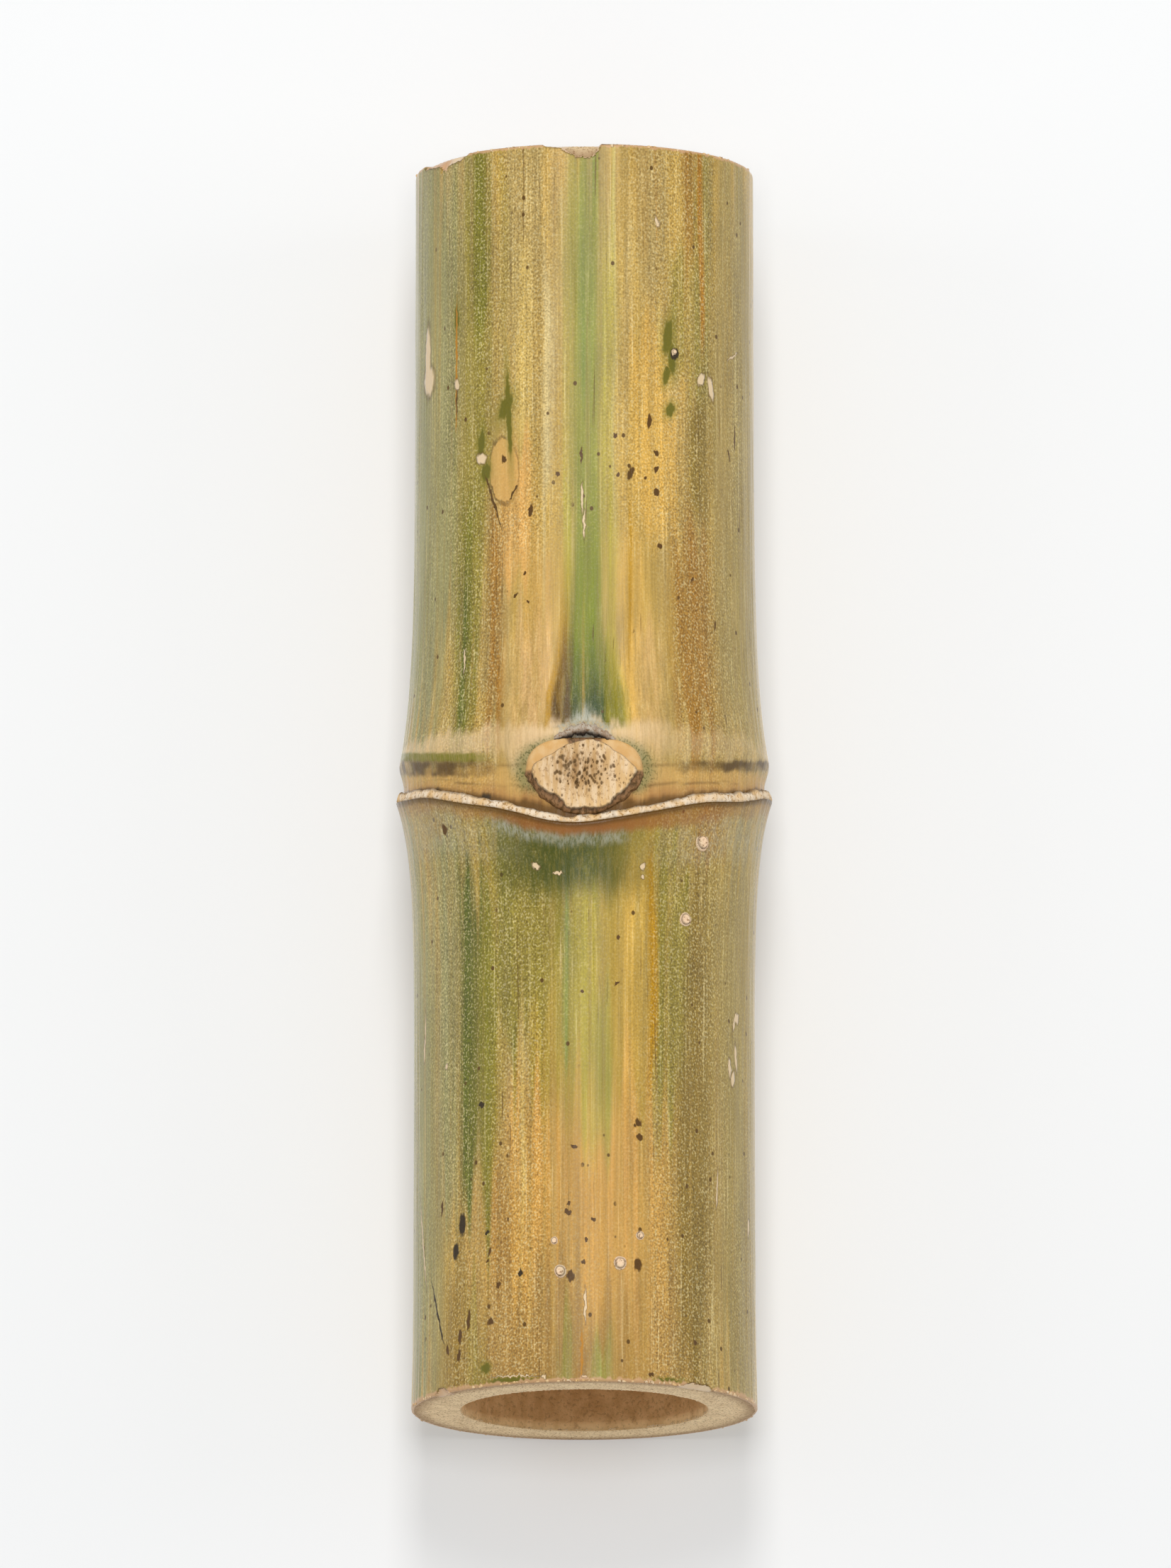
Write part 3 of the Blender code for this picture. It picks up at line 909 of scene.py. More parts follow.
def banded_skin(tree, noises, colour):
    """The colours that follow the node, from the bands that the mesh carries."""
    # The cream band is partly a painted highlight on the nodal ridge's crest
    for paint in ("cream_and_highlight", "peach", "groove", "moss"):
        weight = times(tree, named(tree, "band_" + paint), ease(tree, noises.fine, 0.3, 0.6, 0.7, 1.1))
        colour = blend_paint(tree, weight, colour, seen(paint))
    halo = named(tree, "halo")
    colour = blend_paint(tree, times(tree, halo, 0.7), colour, seen("haze"))
    halo_dots = times(tree, halo, ease(tree, noises.dots, 0.50, 0.34, 0.0, 0.6))
    colour = blend_paint(tree, halo_dots, colour, seen("groove"))
    bloom = times(tree, named(tree, "bloom"), ease(tree, noises.frost, 0.36, 0.64, 0.2, 1.1))
    colour = blend_paint(tree, bloom, colour, seen("bloom"))
    # The rust, crack and soot bands carry painted shadow and shade as well as real stains and cracks
    for paint in ("rust", "crack_and_shade", "soot_and_shade"):
        colour = blend_paint(tree, named(tree, "band_" + paint), colour, seen(paint))
    return colour


def ragged_place(tree):
    """The skin's own map, shaken a little by noise, so that the marks' edges are ragged."""
    rough = tree.nodes.new("ShaderNodeVectorMath")
    rough.operation = "MULTIPLY_ADD"
    shake = noise(tree, cane_space(tree, 1500.0, 700.0), 2.0, 0.5, "Color")
    tree.links.new(shake, rough.inputs[0])
    rough.inputs[1].default_value = (0.8, 1.6, 0.0)
    rough.inputs[2].default_value = (-0.4, -0.8, 0.0)
    shaken = tree.nodes.new("ShaderNodeVectorMath")
    shaken.operation = "ADD"
    tree.links.new(named(tree, "skin_place", "Vector"), shaken.inputs[0])
    tree.links.new(rough.outputs[0], shaken.inputs[1])
    return shaken.outputs[0]


def peeled_skin(tree, noises, colour, reach):
    """A patch where the skin has peeled, with a broken dark line round it."""
    colour = blend_paint(tree, ease(tree, reach, 1.06, 0.98, 0.0, 0.62), colour, seen("peel"))
    line = times(tree, ease(tree, reach, 1.16, 1.08), ease(tree, reach, 0.98, 1.04))
    line = times(tree, line, ease(tree, noises.broad, 0.40, 0.60, 0.05, 0.6))
    return blend_paint(tree, line, colour, seen("crack_and_shade"))


def marked_skin(tree, noises, colour, marks):
    """The skin with its marks, paint by paint, and how far each place is chipped."""
    place = ragged_place(tree)
    chipped = None
    for paint in ("peel", "stain", "burnt", "crack_and_shade", "fleck", "soot_and_shade", "chip"):
        alike = [mark[1:] for mark in marks if mark[0] == paint]
        if not alike:
            continue
        reach = mark_share(tree, place, alike)
        if paint == "peel":
            colour = peeled_skin(tree, noises, colour, reach)
            continue
        if paint == "chip":
            colour = blend_paint(tree, ease(tree, reach, 1.5, 1.1, 0.0, 0.5), colour, seen("crack_and_shade"))
            chipped = ease(tree, reach, 1.1, 0.75)
        if paint == "stain":
            colour = blend_paint(tree, ease(tree, reach, 2.4, 0.9, 0.0, 0.45), colour, seen("moss"))
        share = 1.0 if paint in ("crack_and_shade", "fleck", "soot_and_shade") else 0.9
        colour = blend_paint(tree, ease(tree, reach, 1.2, 0.75, 0.0, share), colour, seen(paint))
    return colour, chipped


def torn_skin(tree, noises, colour):
    """Bare wood in spalls, a painted shadow round them, a frayed saw-cut edge partly painted as a highlight.
    """
    colour = blend_paint(tree, named(tree, "torn_edge"), colour, seen("crack_and_shade"))
    wood = blend_paint(tree, ease(tree, noises.cloud, 0.3, 0.7), seen("torn"), seen("chip"))
    colour = blend_paint(tree, ease(tree, named(tree, "torn"), 0.4, 0.6), colour, wood)
    frayed_and_highlight = ease(tree, named(tree, "sawn_edge"), 0.30, 0.75, 0.0, 0.8)
    return blend_paint(tree, frayed_and_highlight, colour, seen("torn"))


def skin_material(name, paints, marks, settings):
    """Dried cane skin: painted streaks broken up by lengthwise grain, stipple, marks and bloom."""
    material, tree, shader = new_material(name)
    noises = skin_noises(tree)
    colour = streaked_skin(tree, noises, paints)
    colour = stippled_skin(tree, noises, colour)
    colour = freckled_skin(tree, noises, colour)
    colour = banded_skin(tree, noises, colour)
    colour, chipped = marked_skin(tree, noises, colour, marks)
    richer = tree.nodes.new("ShaderNodeHueSaturation")
    richer.inputs["Saturation"].default_value = settings.saturation
    richer.inputs["Value"].default_value = settings.brightness
    tree.links.new(colour, richer.inputs["Color"])
    colour = torn_skin(tree, noises, richer.outputs["Color"])
    matt = settings.skin_roughness
    gloss = ease(tree, noises.grit, 0.3, 0.7, matt - 0.05, matt + 0.08)
    relief = bump(tree, noises.fine, 0.00006, 0.8)
    relief = bump(tree, noises.grit, 0.00004, 0.6, relief)
    relief = bump(tree, chipped, 0.00018, 0.9, relief)
    dress(tree, shader, colour, gloss, relief)
    shader.inputs["Specular IOR Level"].default_value = 0.32
    shader.inputs["Sheen Weight"].default_value = 0.34
    shader.inputs["Sheen Roughness"].default_value = 0.25
    return material


def wood_material(name, light, dark, speck, speck_size, roughness, depth, speck_share=0.8):
    """Bare cane wood: two tones in soft clouds, with small dark specks and a matt grain."""
    material, tree, shader = new_material(name)
    cloud = noise(tree, cane_space(tree, 380.0, 260.0), 4.0, 0.6)
    grit = noise(tree, cane_space(tree, speck_size, speck_size), 3.0, 0.65)
    colour = blend_paint(tree, ease(tree, cloud, 0.36, 0.66), seen(light), seen(dark))
    colour = blend_paint(tree, ease(tree, grit, 0.47, 0.36, 0.0, speck_share), colour, seen(speck))
    # Painted shade: the mesh's shade values darken the wood
    colour = blend_paint(tree, named(tree, "shade"), colour, seen("soot_and_shade"), "MULTIPLY")
    dress(tree, shader, colour, roughness, bump(tree, grit, depth, 0.8))
    return material


def streak_weights(angle, height, streaks, upper):
    """Each paint's weight on the skin: bells across the cane that fade at both ends."""
    arc = angle * LOWER_RADIUS
    weights = {}
    drift = 0.0007 * wander(angle, height, 24, 0.05, 11) + 0.00035 * wander(angle, height, 60, 0.02, 12)
    for number, (paint, degrees, half_width, low, high, strength) in enumerate(streaks):
        across = (arc - math.radians(degrees) * LOWER_RADIUS + drift) / (half_width * MM)
        fade = 0.25 * (high - low) * MM
        waver = fade * 0.8 * wander(angle, height, 180, 0.3, 20 + number)
        along_low = np.clip((height - low * MM + waver) / fade, 0, 1)
        along_high = np.clip((high * MM - height + waver) / fade, 0, 1)
        along = along_low * along_high
        weight = strength * np.exp(-np.abs(across) ** 2.3) * along * along * (3 - 2 * along)
        weights[paint] = np.maximum(weights.get(paint, 0.0), weight)
    if not upper:
        return weights
    taper = along_line(GROOVE_TAPER, height)
    foot = np.clip((height - 0.1158) / 0.0012, 0, 1)
    for paint, degrees, half_width, top, strength in GROOVE_STREAKS:
        middle = math.radians(degrees) * LOWER_RADIUS * taper
        across = (arc - middle + 0.3 * drift) / (half_width * MM * taper)
        fade = np.clip((top * MM - height) / (top * MM - 0.1190), 0, 1)
        weight = strength * np.exp(-np.abs(across) ** 6) * foot * fade
        weights[paint] = np.maximum(weights.get(paint, 0.0), weight)
    return weights


def spall_reach(angle, spall):
    """How far a spall reaches along the cane at each angle, in metres."""
    rim, degrees, half_width, _, reach, line = spall
    edge = float(plain_radius(rim * MM))
    across = (angle - math.radians(degrees)) * edge / (half_width * MM)
    across = across + 0.05 * np.sin(angle * 57 + rim) + 0.03 * np.sin(angle * 131)
    crumbly = 1 + 0.06 * np.sin(angle * 97) + 0.04 * np.sin(angle * 231 + 1)
    return along_line(line, across) * reach * MM * crumbly


def spall_cut(angle, height, radius):
    """Where a spall has broken the skin away, a painted shadow line round it, and the radius left there."""
    inside = np.zeros_like(radius)
    line = np.zeros_like(radius)
    left = radius
    for spall in SPALLS:
        rim, depth = spall[0] * MM, spall[3] * MM
        reach = spall_reach(angle, spall)
        from_rim = np.abs(height - rim)
        broken = (from_rim < reach) & (reach > SPALL_LEAST)
        share = np.clip(1 - from_rim / np.maximum(reach, 0.00001), 0, 1)
        facet = radius - 0.00018 - depth * share**0.8
        left = np.where(broken, np.minimum(left, facet), left)
        inside = np.maximum(inside, broken * 1.0)
        # A painted shadow line just outside the spall's edge
        near = (from_rim - reach) / 0.00022
        line = np.maximum(line, np.exp(-(near**2)) * (reach > SPALL_LINED))
    return inside, line, left


def skin_surface(name, profile, radii, streaks, marks, settings, upper):
    """A skin: outer rows carried round the cane, closed by a few rows just under the surface."""
    angles = columns_round(settings.front_columns, settings.back_columns)
    columns = len(angles)
    outer = np.broadcast_to(angles, (len(profile), columns))
    height = spread(profile, columns)
    faint = 0.00005 * wander(outer, height, 90, 0.03, 3) + 0.00004 * wander(outer, height, 300, 0.012, 4)
    radius = spread(radii, columns) + faint
    if upper:
        radius = radius - groove_depth(outer, height, radius)
    torn, line, left = spall_cut(outer, height, radius)
    crumble = 0.00006 * wander(outer, height, 500, 0.0008, 9)
    radius = ovalled(outer, np.where(torn > 0, left + crumble, radius))

    under_height = profile[0] + (profile[-1] - profile[0]) * (0.01 + 0.98 * np.linspace(1, 0, UNDER_ROWS))
    under_radius = np.interp(under_height, profile, radii) - UNDER_DEPTH
    height = np.concatenate([height, spread(under_height, columns)])
    radius = np.concatenate([radius, spread(under_radius, columns)])
    none = np.zeros((UNDER_ROWS, columns))
    torn = np.concatenate([torn, none])
    line = np.concatenate([line, none])

    angle = np.broadcast_to(angles, height.shape)
    grown = pulled_height(angle, height)
    mesh = make_mesh(name, lay_down(angle, grown, radius), grid_faces(*height.shape, True, True))
    add_place_map(mesh, angles, grown)
    weights = streak_weights(angle, grown, streaks, upper)
    add_values(mesh, **{"paint_" + paint: weight for paint, weight in weights.items()})
    bands = dict.fromkeys(NODE_BANDS, 0.0)
    bands.update(bands_above(angle, height, grown) if upper else bands_below(angle, height, grown))
    bands["stipple"] = stipple_strength(angle, grown, upper)
    add_values(mesh, **{band: np.clip(share, 0, 1) for band, share in bands.items()})
    # A pale frayed edge at each sawn rim, partly a painted highlight on the rounded edge, and the spalls'
    # painted shadow line
    from_end = np.abs(grown - (CANE_LENGTH if upper else 0.0))
    frayed_and_highlight = (0.00065 if upper else 0.0009) * (1 + 0.5 * wander(angle, grown, 420, 0.3, 47))
    frayed_and_highlight = np.exp(-((from_end / frayed_and_highlight) ** 2)) * (1 - torn)
    add_values(mesh, torn=torn, torn_edge=0.8 * line, sawn_edge=frayed_and_highlight)
    return show(name, mesh, skin_material(name + "_finish", weights, marks, settings))


def ragged_edge(angle, grown):
    """A coarse and a fine unevenness for the edges of the bands, in metres."""
    return 0.0010 * wander(angle, grown, 150, 0.008, 31) + 0.0006 * wander(angle, grown, 520, 0.004, 32)


def stipple_strength(angle, grown, upper):
    """Strong left of the branch and in the brown stripe on the right, faint in and near the groove."""
    degrees = np.degrees(angle)
    stipple = 0.60 + 0.42 * soft_band(degrees, -50, -18, 8) + 0.45 * soft_band(degrees, 27, 46, 6)
    stipple = stipple + 0.35 * wander(angle, grown, 40, 0.03, 33)
    stipple = stipple - 0.5 * soft_band(degrees, -32, -21, 3) * soft_band(grown, 0.158, 0.172, 0.003)
    if upper:
        stipple = stipple * (1 - 0.45 * np.exp(-np.abs(degrees / 8) ** 4))
        smooth = soft_band(degrees, -27, 29, 4) * soft_band(grown, 0.100, 0.144, 0.014)
    else:
        smooth = 0.7 * soft_band(degrees, -9, 19, 6)
    return stipple * (1 - 0.72 * smooth)


def bands_below(angle, height, grown):
    """Under the scar ring: rust and shadow, a frosted fringe, and green that fades down the cane."""
    degrees = np.degrees(angle)
    ragged = ragged_edge(angle, grown)
    front = np.exp(-np.abs(degrees / 34) ** 3)
    below = RING_HEIGHT - height
    soft = 0.0014 * wander(angle, grown, 34, 0.3, 45) + 0.4 * ragged
    rust = soft_band(below + soft, -0.001, 0.0022, 0.0020) * (0.30 + 0.50 * front)
    shadow = soft_band(below, -0.001, 0.0002, 0.0014)
    fringe = soft_band(below + soft, 0.0038, 0.0046, 0.0022) * soft_band(degrees, -26, 9, 9)
    around = soft_band(below + soft, 0.0040, 0.0090, 0.0045) * (1 - front)
    streaky = soft + 0.0022 * wander(angle, grown, 150, 0.3, 48)
    green = soft_band(below + streaky, 0.0048, 0.0125, 0.0085)
    green = green * np.exp(-np.abs((degrees + 6) / 25) ** 3)
    # The shadow under the ring is painted shade, laid on with the crack and soot browns
    return {
        "band_rust": rust,
        "band_crack_and_shade": 0.8 * shadow,
        "band_soot_and_shade": 0.35 * shadow,
        "bloom": 0.52 * fringe + 0.28 * around,
        "band_groove": 0.85 * green,
    }


def bands_above(angle, height, grown):
    """Above the scar ring: dark gap, rust, painted shade at the foot, and cream with a painted highlight on
    the ridge's crest.
    """
    degrees = np.degrees(angle)
    ragged = ragged_edge(angle, grown)
    front = np.exp(-np.abs(degrees / 34) ** 3)
    near = np.exp(-np.abs(degrees / 24) ** 4)
    left = soft_band(degrees, -100, -34, 8)
    # The cream crest: the ridge's pale colour with a painted highlight
    crest = soft_band(height + ragged, 0.1150, 0.1166, 0.0022)
    low = soft_band(height + 0.3 * ragged, 0.1080, 0.1124, 0.0012)
    rust = soft_band(height + 0.4 * ragged, 0.1100, 0.1106, 0.0016) * (0.35 + 0.3 * front)

    # Height above the crest's line, which sweeps down a little towards the front
    level = grown - 0.1173 + 0.00606 * np.cos(angle)
    beside = soft_band(np.abs(degrees), 42, 180, 18)
    patchy = np.clip(0.8 + 0.5 * wander(angle, grown, 90, 0.0014, 35), 0.3, 1)
    shade_low = np.where(degrees < 0, -0.0029, -0.0021)
    shade = soft_band(level + 0.3 * ragged, shade_low, -0.0011, 0.0008) * beside * patchy
    hairline = soft_band(level, -0.0014, -0.0012, 0.00025) * (1 - beside) * 0.4
    moss = soft_band(level + 0.15 * ragged, -0.0006, 0.0005, 0.0005) * soft_band(degrees, -100, -38, 10)

    crack_and_shade = soft_band(height + 0.0002 * wander(angle, grown, 50, 0.3, 36), 0.11165, 0.11172, 0.00008)
    crack_and_shade = crack_and_shade * np.clip(0.6 + wander(angle, grown, 34, 0.3, 38), 0, 1)
    over_ring = height - RING_HEIGHT - 0.00108 * ring_swell(angle)
    gap = soft_band(over_ring + 0.15 * ragged, -0.001, 0.00055 * near - 0.00015, 0.0005)
    spots = np.clip(2.5 * wander(angle, grown, 170, 0.0016, 46) - 1.1, 0, 1)
    spots = spots * soft_band(np.abs(degrees), 22, 70, 5) * np.maximum(gap, 0.6 * shade)

    # A painted shade line under the brow
    under_brow = soft_band(grown - 0.1152 + 0.0009 * (degrees / 9) ** 2, -0.0005, 0.0002, 0.0003)
    under_brow = under_brow * soft_band(np.abs(degrees), -1, 8, 2.5)
    frost_reach = 0.0012 + 0.0032 * np.exp(-np.abs(degrees / 4.5) ** 2)
    frost = soft_band(grown, 0.1150, 0.1160 + 0.5 * frost_reach, frost_reach)
    frost = frost * np.exp(-np.abs(degrees / 8.8) ** 8)

    # Rings round the branch, 1 at the collar's foot
    ring = np.sqrt((degrees / 22.5) ** 2 + ((grown - 0.1092) / 0.0068) ** 2)
    halo = np.exp(-(((ring - 0.90) / 0.14) ** 2)) * soft_band(grown, 0.1062, 0.1135, 0.0025)
    # The crack and soot bands hold the painted shade under the ridge and the brow besides the gap, crack
    # line and spots
    return {
        "band_cream_and_highlight": crest * (0.20 + 0.50 * near + 0.30 * left),
        "band_peach": 0.5 * low,
        "band_rust": rust,
        "band_moss": 0.9 * moss,
        "band_crack_and_shade": np.maximum(np.maximum(0.85 * gap, 0.85 * shade), np.maximum(0.6 * crack_and_shade, hairline)),
        "band_soot_and_shade": np.maximum(np.clip(0.7 * shade - 0.4, 0, 1), np.maximum(spots, 0.8 * under_brow)),
        "bloom": 0.9 * frost,
        "halo": halo,
    }


# The property groups


class CANE_PG_skin(bpy.types.PropertyGroup):
    """How finely the skin is worked and how it looks"""

    front_columns: IntProperty(
        name="Front columns",
        description="Columns of the skin's grid on the half that carries the branch",
        default=330,
        min=40,
    )
    back_columns: IntProperty(
        name="Back columns",
        description="Columns of the skin's grid on the other half",
        default=130,
        min=20,
    )
    rows: IntProperty(
        name="Rows",
        description="Rows of each skin's grid along the cane",
        default=190,
        min=20,
    )
    skin_roughness: FloatProperty(
        name="Skin roughness",
        description="How matt the dried skin is",
        default=0.42,
        min=0.1,
        max=1.0,
        subtype="FACTOR",
    )
    saturation: FloatProperty(
        name="Saturation",
        description="How rich the skin's colours are",
        default=1.05,
        min=0.0,
        max=2.0,
    )
    brightness: FloatProperty(
        name="Brightness",
        description="How light the skin is",
        default=1.01,
        min=0.0,
        max=2.0,
    )


class CANE_PG_stage(bpy.types.PropertyGroup):
    """The floor and the camera"""

    floor_colour: FloatVectorProperty(
        name="Floor colour",
        description="Colour of the plain floor",
        default=(0.65, 0.655, 0.655),
        size=3,
        subtype="COLOR",
        min=0.0,
        max=1.0,
    )
    floor_glow: FloatProperty(
        name="Floor glow",
        description="How much light the floor gives of its own, as a lit table does",
        default=0.24,
        min=0.0,
    )
    look_down: FloatProperty(
        name="Look down",
        description="How far the camera looks down on the cane",
        default=math.radians(78.06),
        subtype="ANGLE",
    )
    distance: FloatProperty(
        name="Distance",
        description="From the camera to the cane",
        default=8.0,
        unit="LENGTH",
    )
    view_height: FloatProperty(
        name="View height",
        description="Height of the picture at the cane",
        default=0.2772,
        unit="LENGTH",
    )


# The operators


class CANE_OT_lower_skin(bpy.types.Operator):
    """Builds the skin of the lower internode, from the sawn end up to the scar ring"""

    bl_idname = "cane.lower_skin"
    bl_label = "Lower skin"

    def execute(self, context):
        settings = context.scene.cane_skin
        near_end = np.linspace(0.0005, 0.0022, 14, endpoint=False)
        plain = np.linspace(0.0022, RING_HEIGHT - 0.0002, settings.rows)
        heights = np.concatenate([RIM_ROWS, near_end, plain])
        radii = lower_skin_radius(heights) - RIM_ROUNDING * np.exp(-heights / RIM_ROUNDING_REACH)
        skin_surface("lower_skin", heights, radii, LOWER_STREAKS, LOWER_MARKS, settings, False)
        return {"FINISHED"}


class CANE_OT_upper_skin(bpy.types.Operator):
    """Builds the skin from above the scar ring, over the nodal ridge, up to the upper sawn end"""

    bl_idname = "cane.upper_skin"
    bl_label = "Upper skin"

    def execute(self, context):
        settings = context.scene.cane_skin
        node = np.linspace(RING_HEIGHT + 0.0006, RIDGE_HEIGHT + 0.003, settings.rows // 4)
        plain_rows = settings.rows - len(node) - 10
        plain = np.linspace(RIDGE_HEIGHT + 0.0036, CANE_LENGTH - 0.0036, plain_rows)
        near_end = CANE_LENGTH - np.linspace(0.0034, 0.0005, 24)
        end = CANE_LENGTH - np.array(RIM_ROWS[::-1])
        heights = np.concatenate([node, plain, near_end, end])
        from_end = CANE_LENGTH - heights
        radii = upper_skin_radius(heights) - RIM_ROUNDING * np.exp(-from_end / RIM_ROUNDING_REACH)
        skin_surface("upper_skin", heights, radii, UPPER_STREAKS, UPPER_MARKS, settings, True)
        return {"FINISHED"}


class CANE_OT_scar_ring(bpy.types.Operator):
    """Builds the pale crumbly scar of the fallen sheath"""

    bl_idname = "cane.scar_ring"
    bl_label = "Scar ring"

    def execute(self, context):
        columns = 1200
        section = np.array(RING_SECTION) * MM
        out = spread(section[:, 0], columns)
        up = spread(section[:, 1], columns)
        angle = np.broadcast_to(whole_turn(columns), out.shape)
        swell = 1 + 0.16 * wander(angle, up * 0, 70, 0.3, 41) + 0.1 * wander(angle, up * 0, 200, 0.3, 42)
        crumb = wander(angle, up * 9, 620, 0.004, 43)
        fleck = wander(angle, up * 9, 300, 0.006, 44)
        visible = out > -0.0012
        radius = RING_RADIUS + out + visible * (0.00010 * crumb + 0.00010 * fleck - 0.00015)
        height = RING_HEIGHT + up * (swell * ring_swell(angle)) + visible * 0.00008 * fleck
        points = lay_down(angle, height + ring_shift(angle), ovalled(angle, radius))
        mesh = make_mesh("scar_ring", points, grid_faces(*angle.shape, True, True))
        low_side = np.clip((0.00018 - up) / 0.0004, 0, 1) * 0.25
        high_side = np.clip((up - 0.00082) / 0.0002, 0, 1) * 0.65
        pits = np.clip(-crumb - 0.45, 0, 1) * 0.8
        add_values(mesh, shade=np.clip(low_side + high_side + pits, 0, 1))
        material = wood_material("scar_wood", "scar", "cut", "brown", 1700.0, 0.75, 0.00008)
        show("scar_ring", mesh, material)
        return {"FINISHED"}


def sawn_end(name, rim, facing, hollow_radius):
    """A sawn end: rings from the skin in to the hollow, closed by a few rows inside the wall."""
    columns, rings = 900, 34
    outer = float(plain_radius(rim)) - 0.00030
    radius = spread(np.linspace(outer, hollow_radius, rings), columns)
    angle = np.broadcast_to(whole_turn(columns), radius.shape)
    inward = (outer - radius) / (outer - hollow_radius)
    fringe = 0.00014 * wander(angle, radius * 0, 520, 0.3, 51)
    fringe = fringe + 0.00012 * wander(angle, radius * 0, 210, 0.3, 52)
    topside = np.clip(0.35 + 0.75 * np.cos(angle), 0.1, 1.0)
    fringe = (fringe * 1.3 - 0.00005) * topside
    radius = radius + fringe * np.clip((inward - 0.9) / 0.1, 0, 1)
    depth = 0.00004 * wander(angle, radius * 3, 500, 0.003, 53)
    depth = depth + 0.00003 * np.sin(radius * np.sin(angle) * 9000)
    depth = depth - 0.00008 - 0.00025 * np.clip((inward - 0.96) / 0.04, 0, 1) ** 2
    torn = np.zeros_like(radius)
    for spall in SPALLS:
        if abs(spall[0] * MM - rim) > MM:
            continue
        reach = spall_reach(angle, spall)
        share = np.clip(1 - (outer - radius) / (spall[3] * MM), 0, 1)
        drop = reach * share**1.25 + 0.00025 * (share > 0) * (reach > SPALL_LEAST)
        depth = np.minimum(depth, -drop)
        torn = np.maximum(torn, np.clip(share * 4, 0, 1) * (reach > SPALL_LEAST))

    behind = spread([hollow_radius + 0.0005, outer - 0.004, outer - 0.0005], columns)
    none = np.zeros_like(behind)
    all_radius = np.concatenate([radius, behind])
    all_height = np.concatenate([rim + facing * depth, rim - facing * (none + 0.003)])
    all_angle = np.broadcast_to(whole_turn(columns), all_radius.shape)
    faces = grid_faces(*all_radius.shape, True, True)
    if facing > 0:
        faces = faces[:, ::-1]
    mesh = make_mesh(name, lay_down(all_angle, all_height, ovalled(all_angle, all_radius)), faces)
    # The fibres at the hollow's edge are stronger on the upper side, partly a painted highlight
    add_values(
        mesh,
        bundles=np.concatenate([1 - inward, none]),
        fibres=np.concatenate([np.clip((inward - 0.90) / 0.08, 0, 1) * topside, none]),
        shade=np.concatenate([0.45 * np.exp(-inward / 0.02) * (1 - torn), none]),
    )
    return mesh


def sawn_material():
    """Sawn cane: pale ground, with bundle ends that crowd and darken towards the skin."""
    material, tree, shader = new_material("sawn_cane")
    density = named(tree, "bundles")
    cloud = noise(tree, cane_space(tree, 300.0, 300.0), 3.0, 0.6)
    grit = noise(tree, cane_space(tree, 2400.0, 2400.0), 2.0, 0.6)
    colour = blend_paint(tree, ease(tree, cloud, 0.35, 0.65), seen("sawn"), seen("sawn_grey"))
    colour = blend_paint(tree, ease(tree, density, 0.60, 1.0, 0.0, 0.75), colour, seen("sawn_brown"))
    ends = ease(tree, dot_distance(tree, cane_space(tree, 2100.0, 300.0)), 0.42, 0.18)
    ends = times(tree, ends, ease(tree, density, 0.0, 1.0, 0.15, 0.60))
    colour = blend_paint(tree, ends, colour, seen("sawn_brown"))
    colour = blend_paint(tree, ease(tree, grit, 0.47, 0.33, 0.0, 0.7), colour, seen("sponge"))
    # Pale fibres at the inner edge, partly a painted highlight on the upper side
    fibres = times(tree, named(tree, "fibres"), ease(tree, grit, 0.40, 0.55, 0.1, 0.8))
    colour = blend_paint(tree, fibres, colour, seen("cream_and_highlight"))
    # Painted shade at the face's outer edge
    colour = blend_paint(tree, named(tree, "shade"), colour, seen("soot_and_shade"))
    dress(tree, shader, colour, 0.8, bump(tree, grit, 0.0001, 0.7))
    return material


class CANE_OT_sawn_ends(bpy.types.Operator):
    """Builds the two sawn ends of the cane's wall, with their spalls"""

    bl_idname = "cane.sawn_ends"
    bl_label = "Sawn ends"

    def execute(self, context):
        material = sawn_material()
        lower = sawn_end("lower_sawn_end", 0.0, -1, LOWER_HOLLOW_RADIUS)
        upper = sawn_end("upper_sawn_end", CANE_LENGTH, 1, UPPER_HOLLOW_RADIUS)
        show("lower_sawn_end", lower, material)
        show("upper_sawn_end", upper, material)
        return {"FINISHED"}


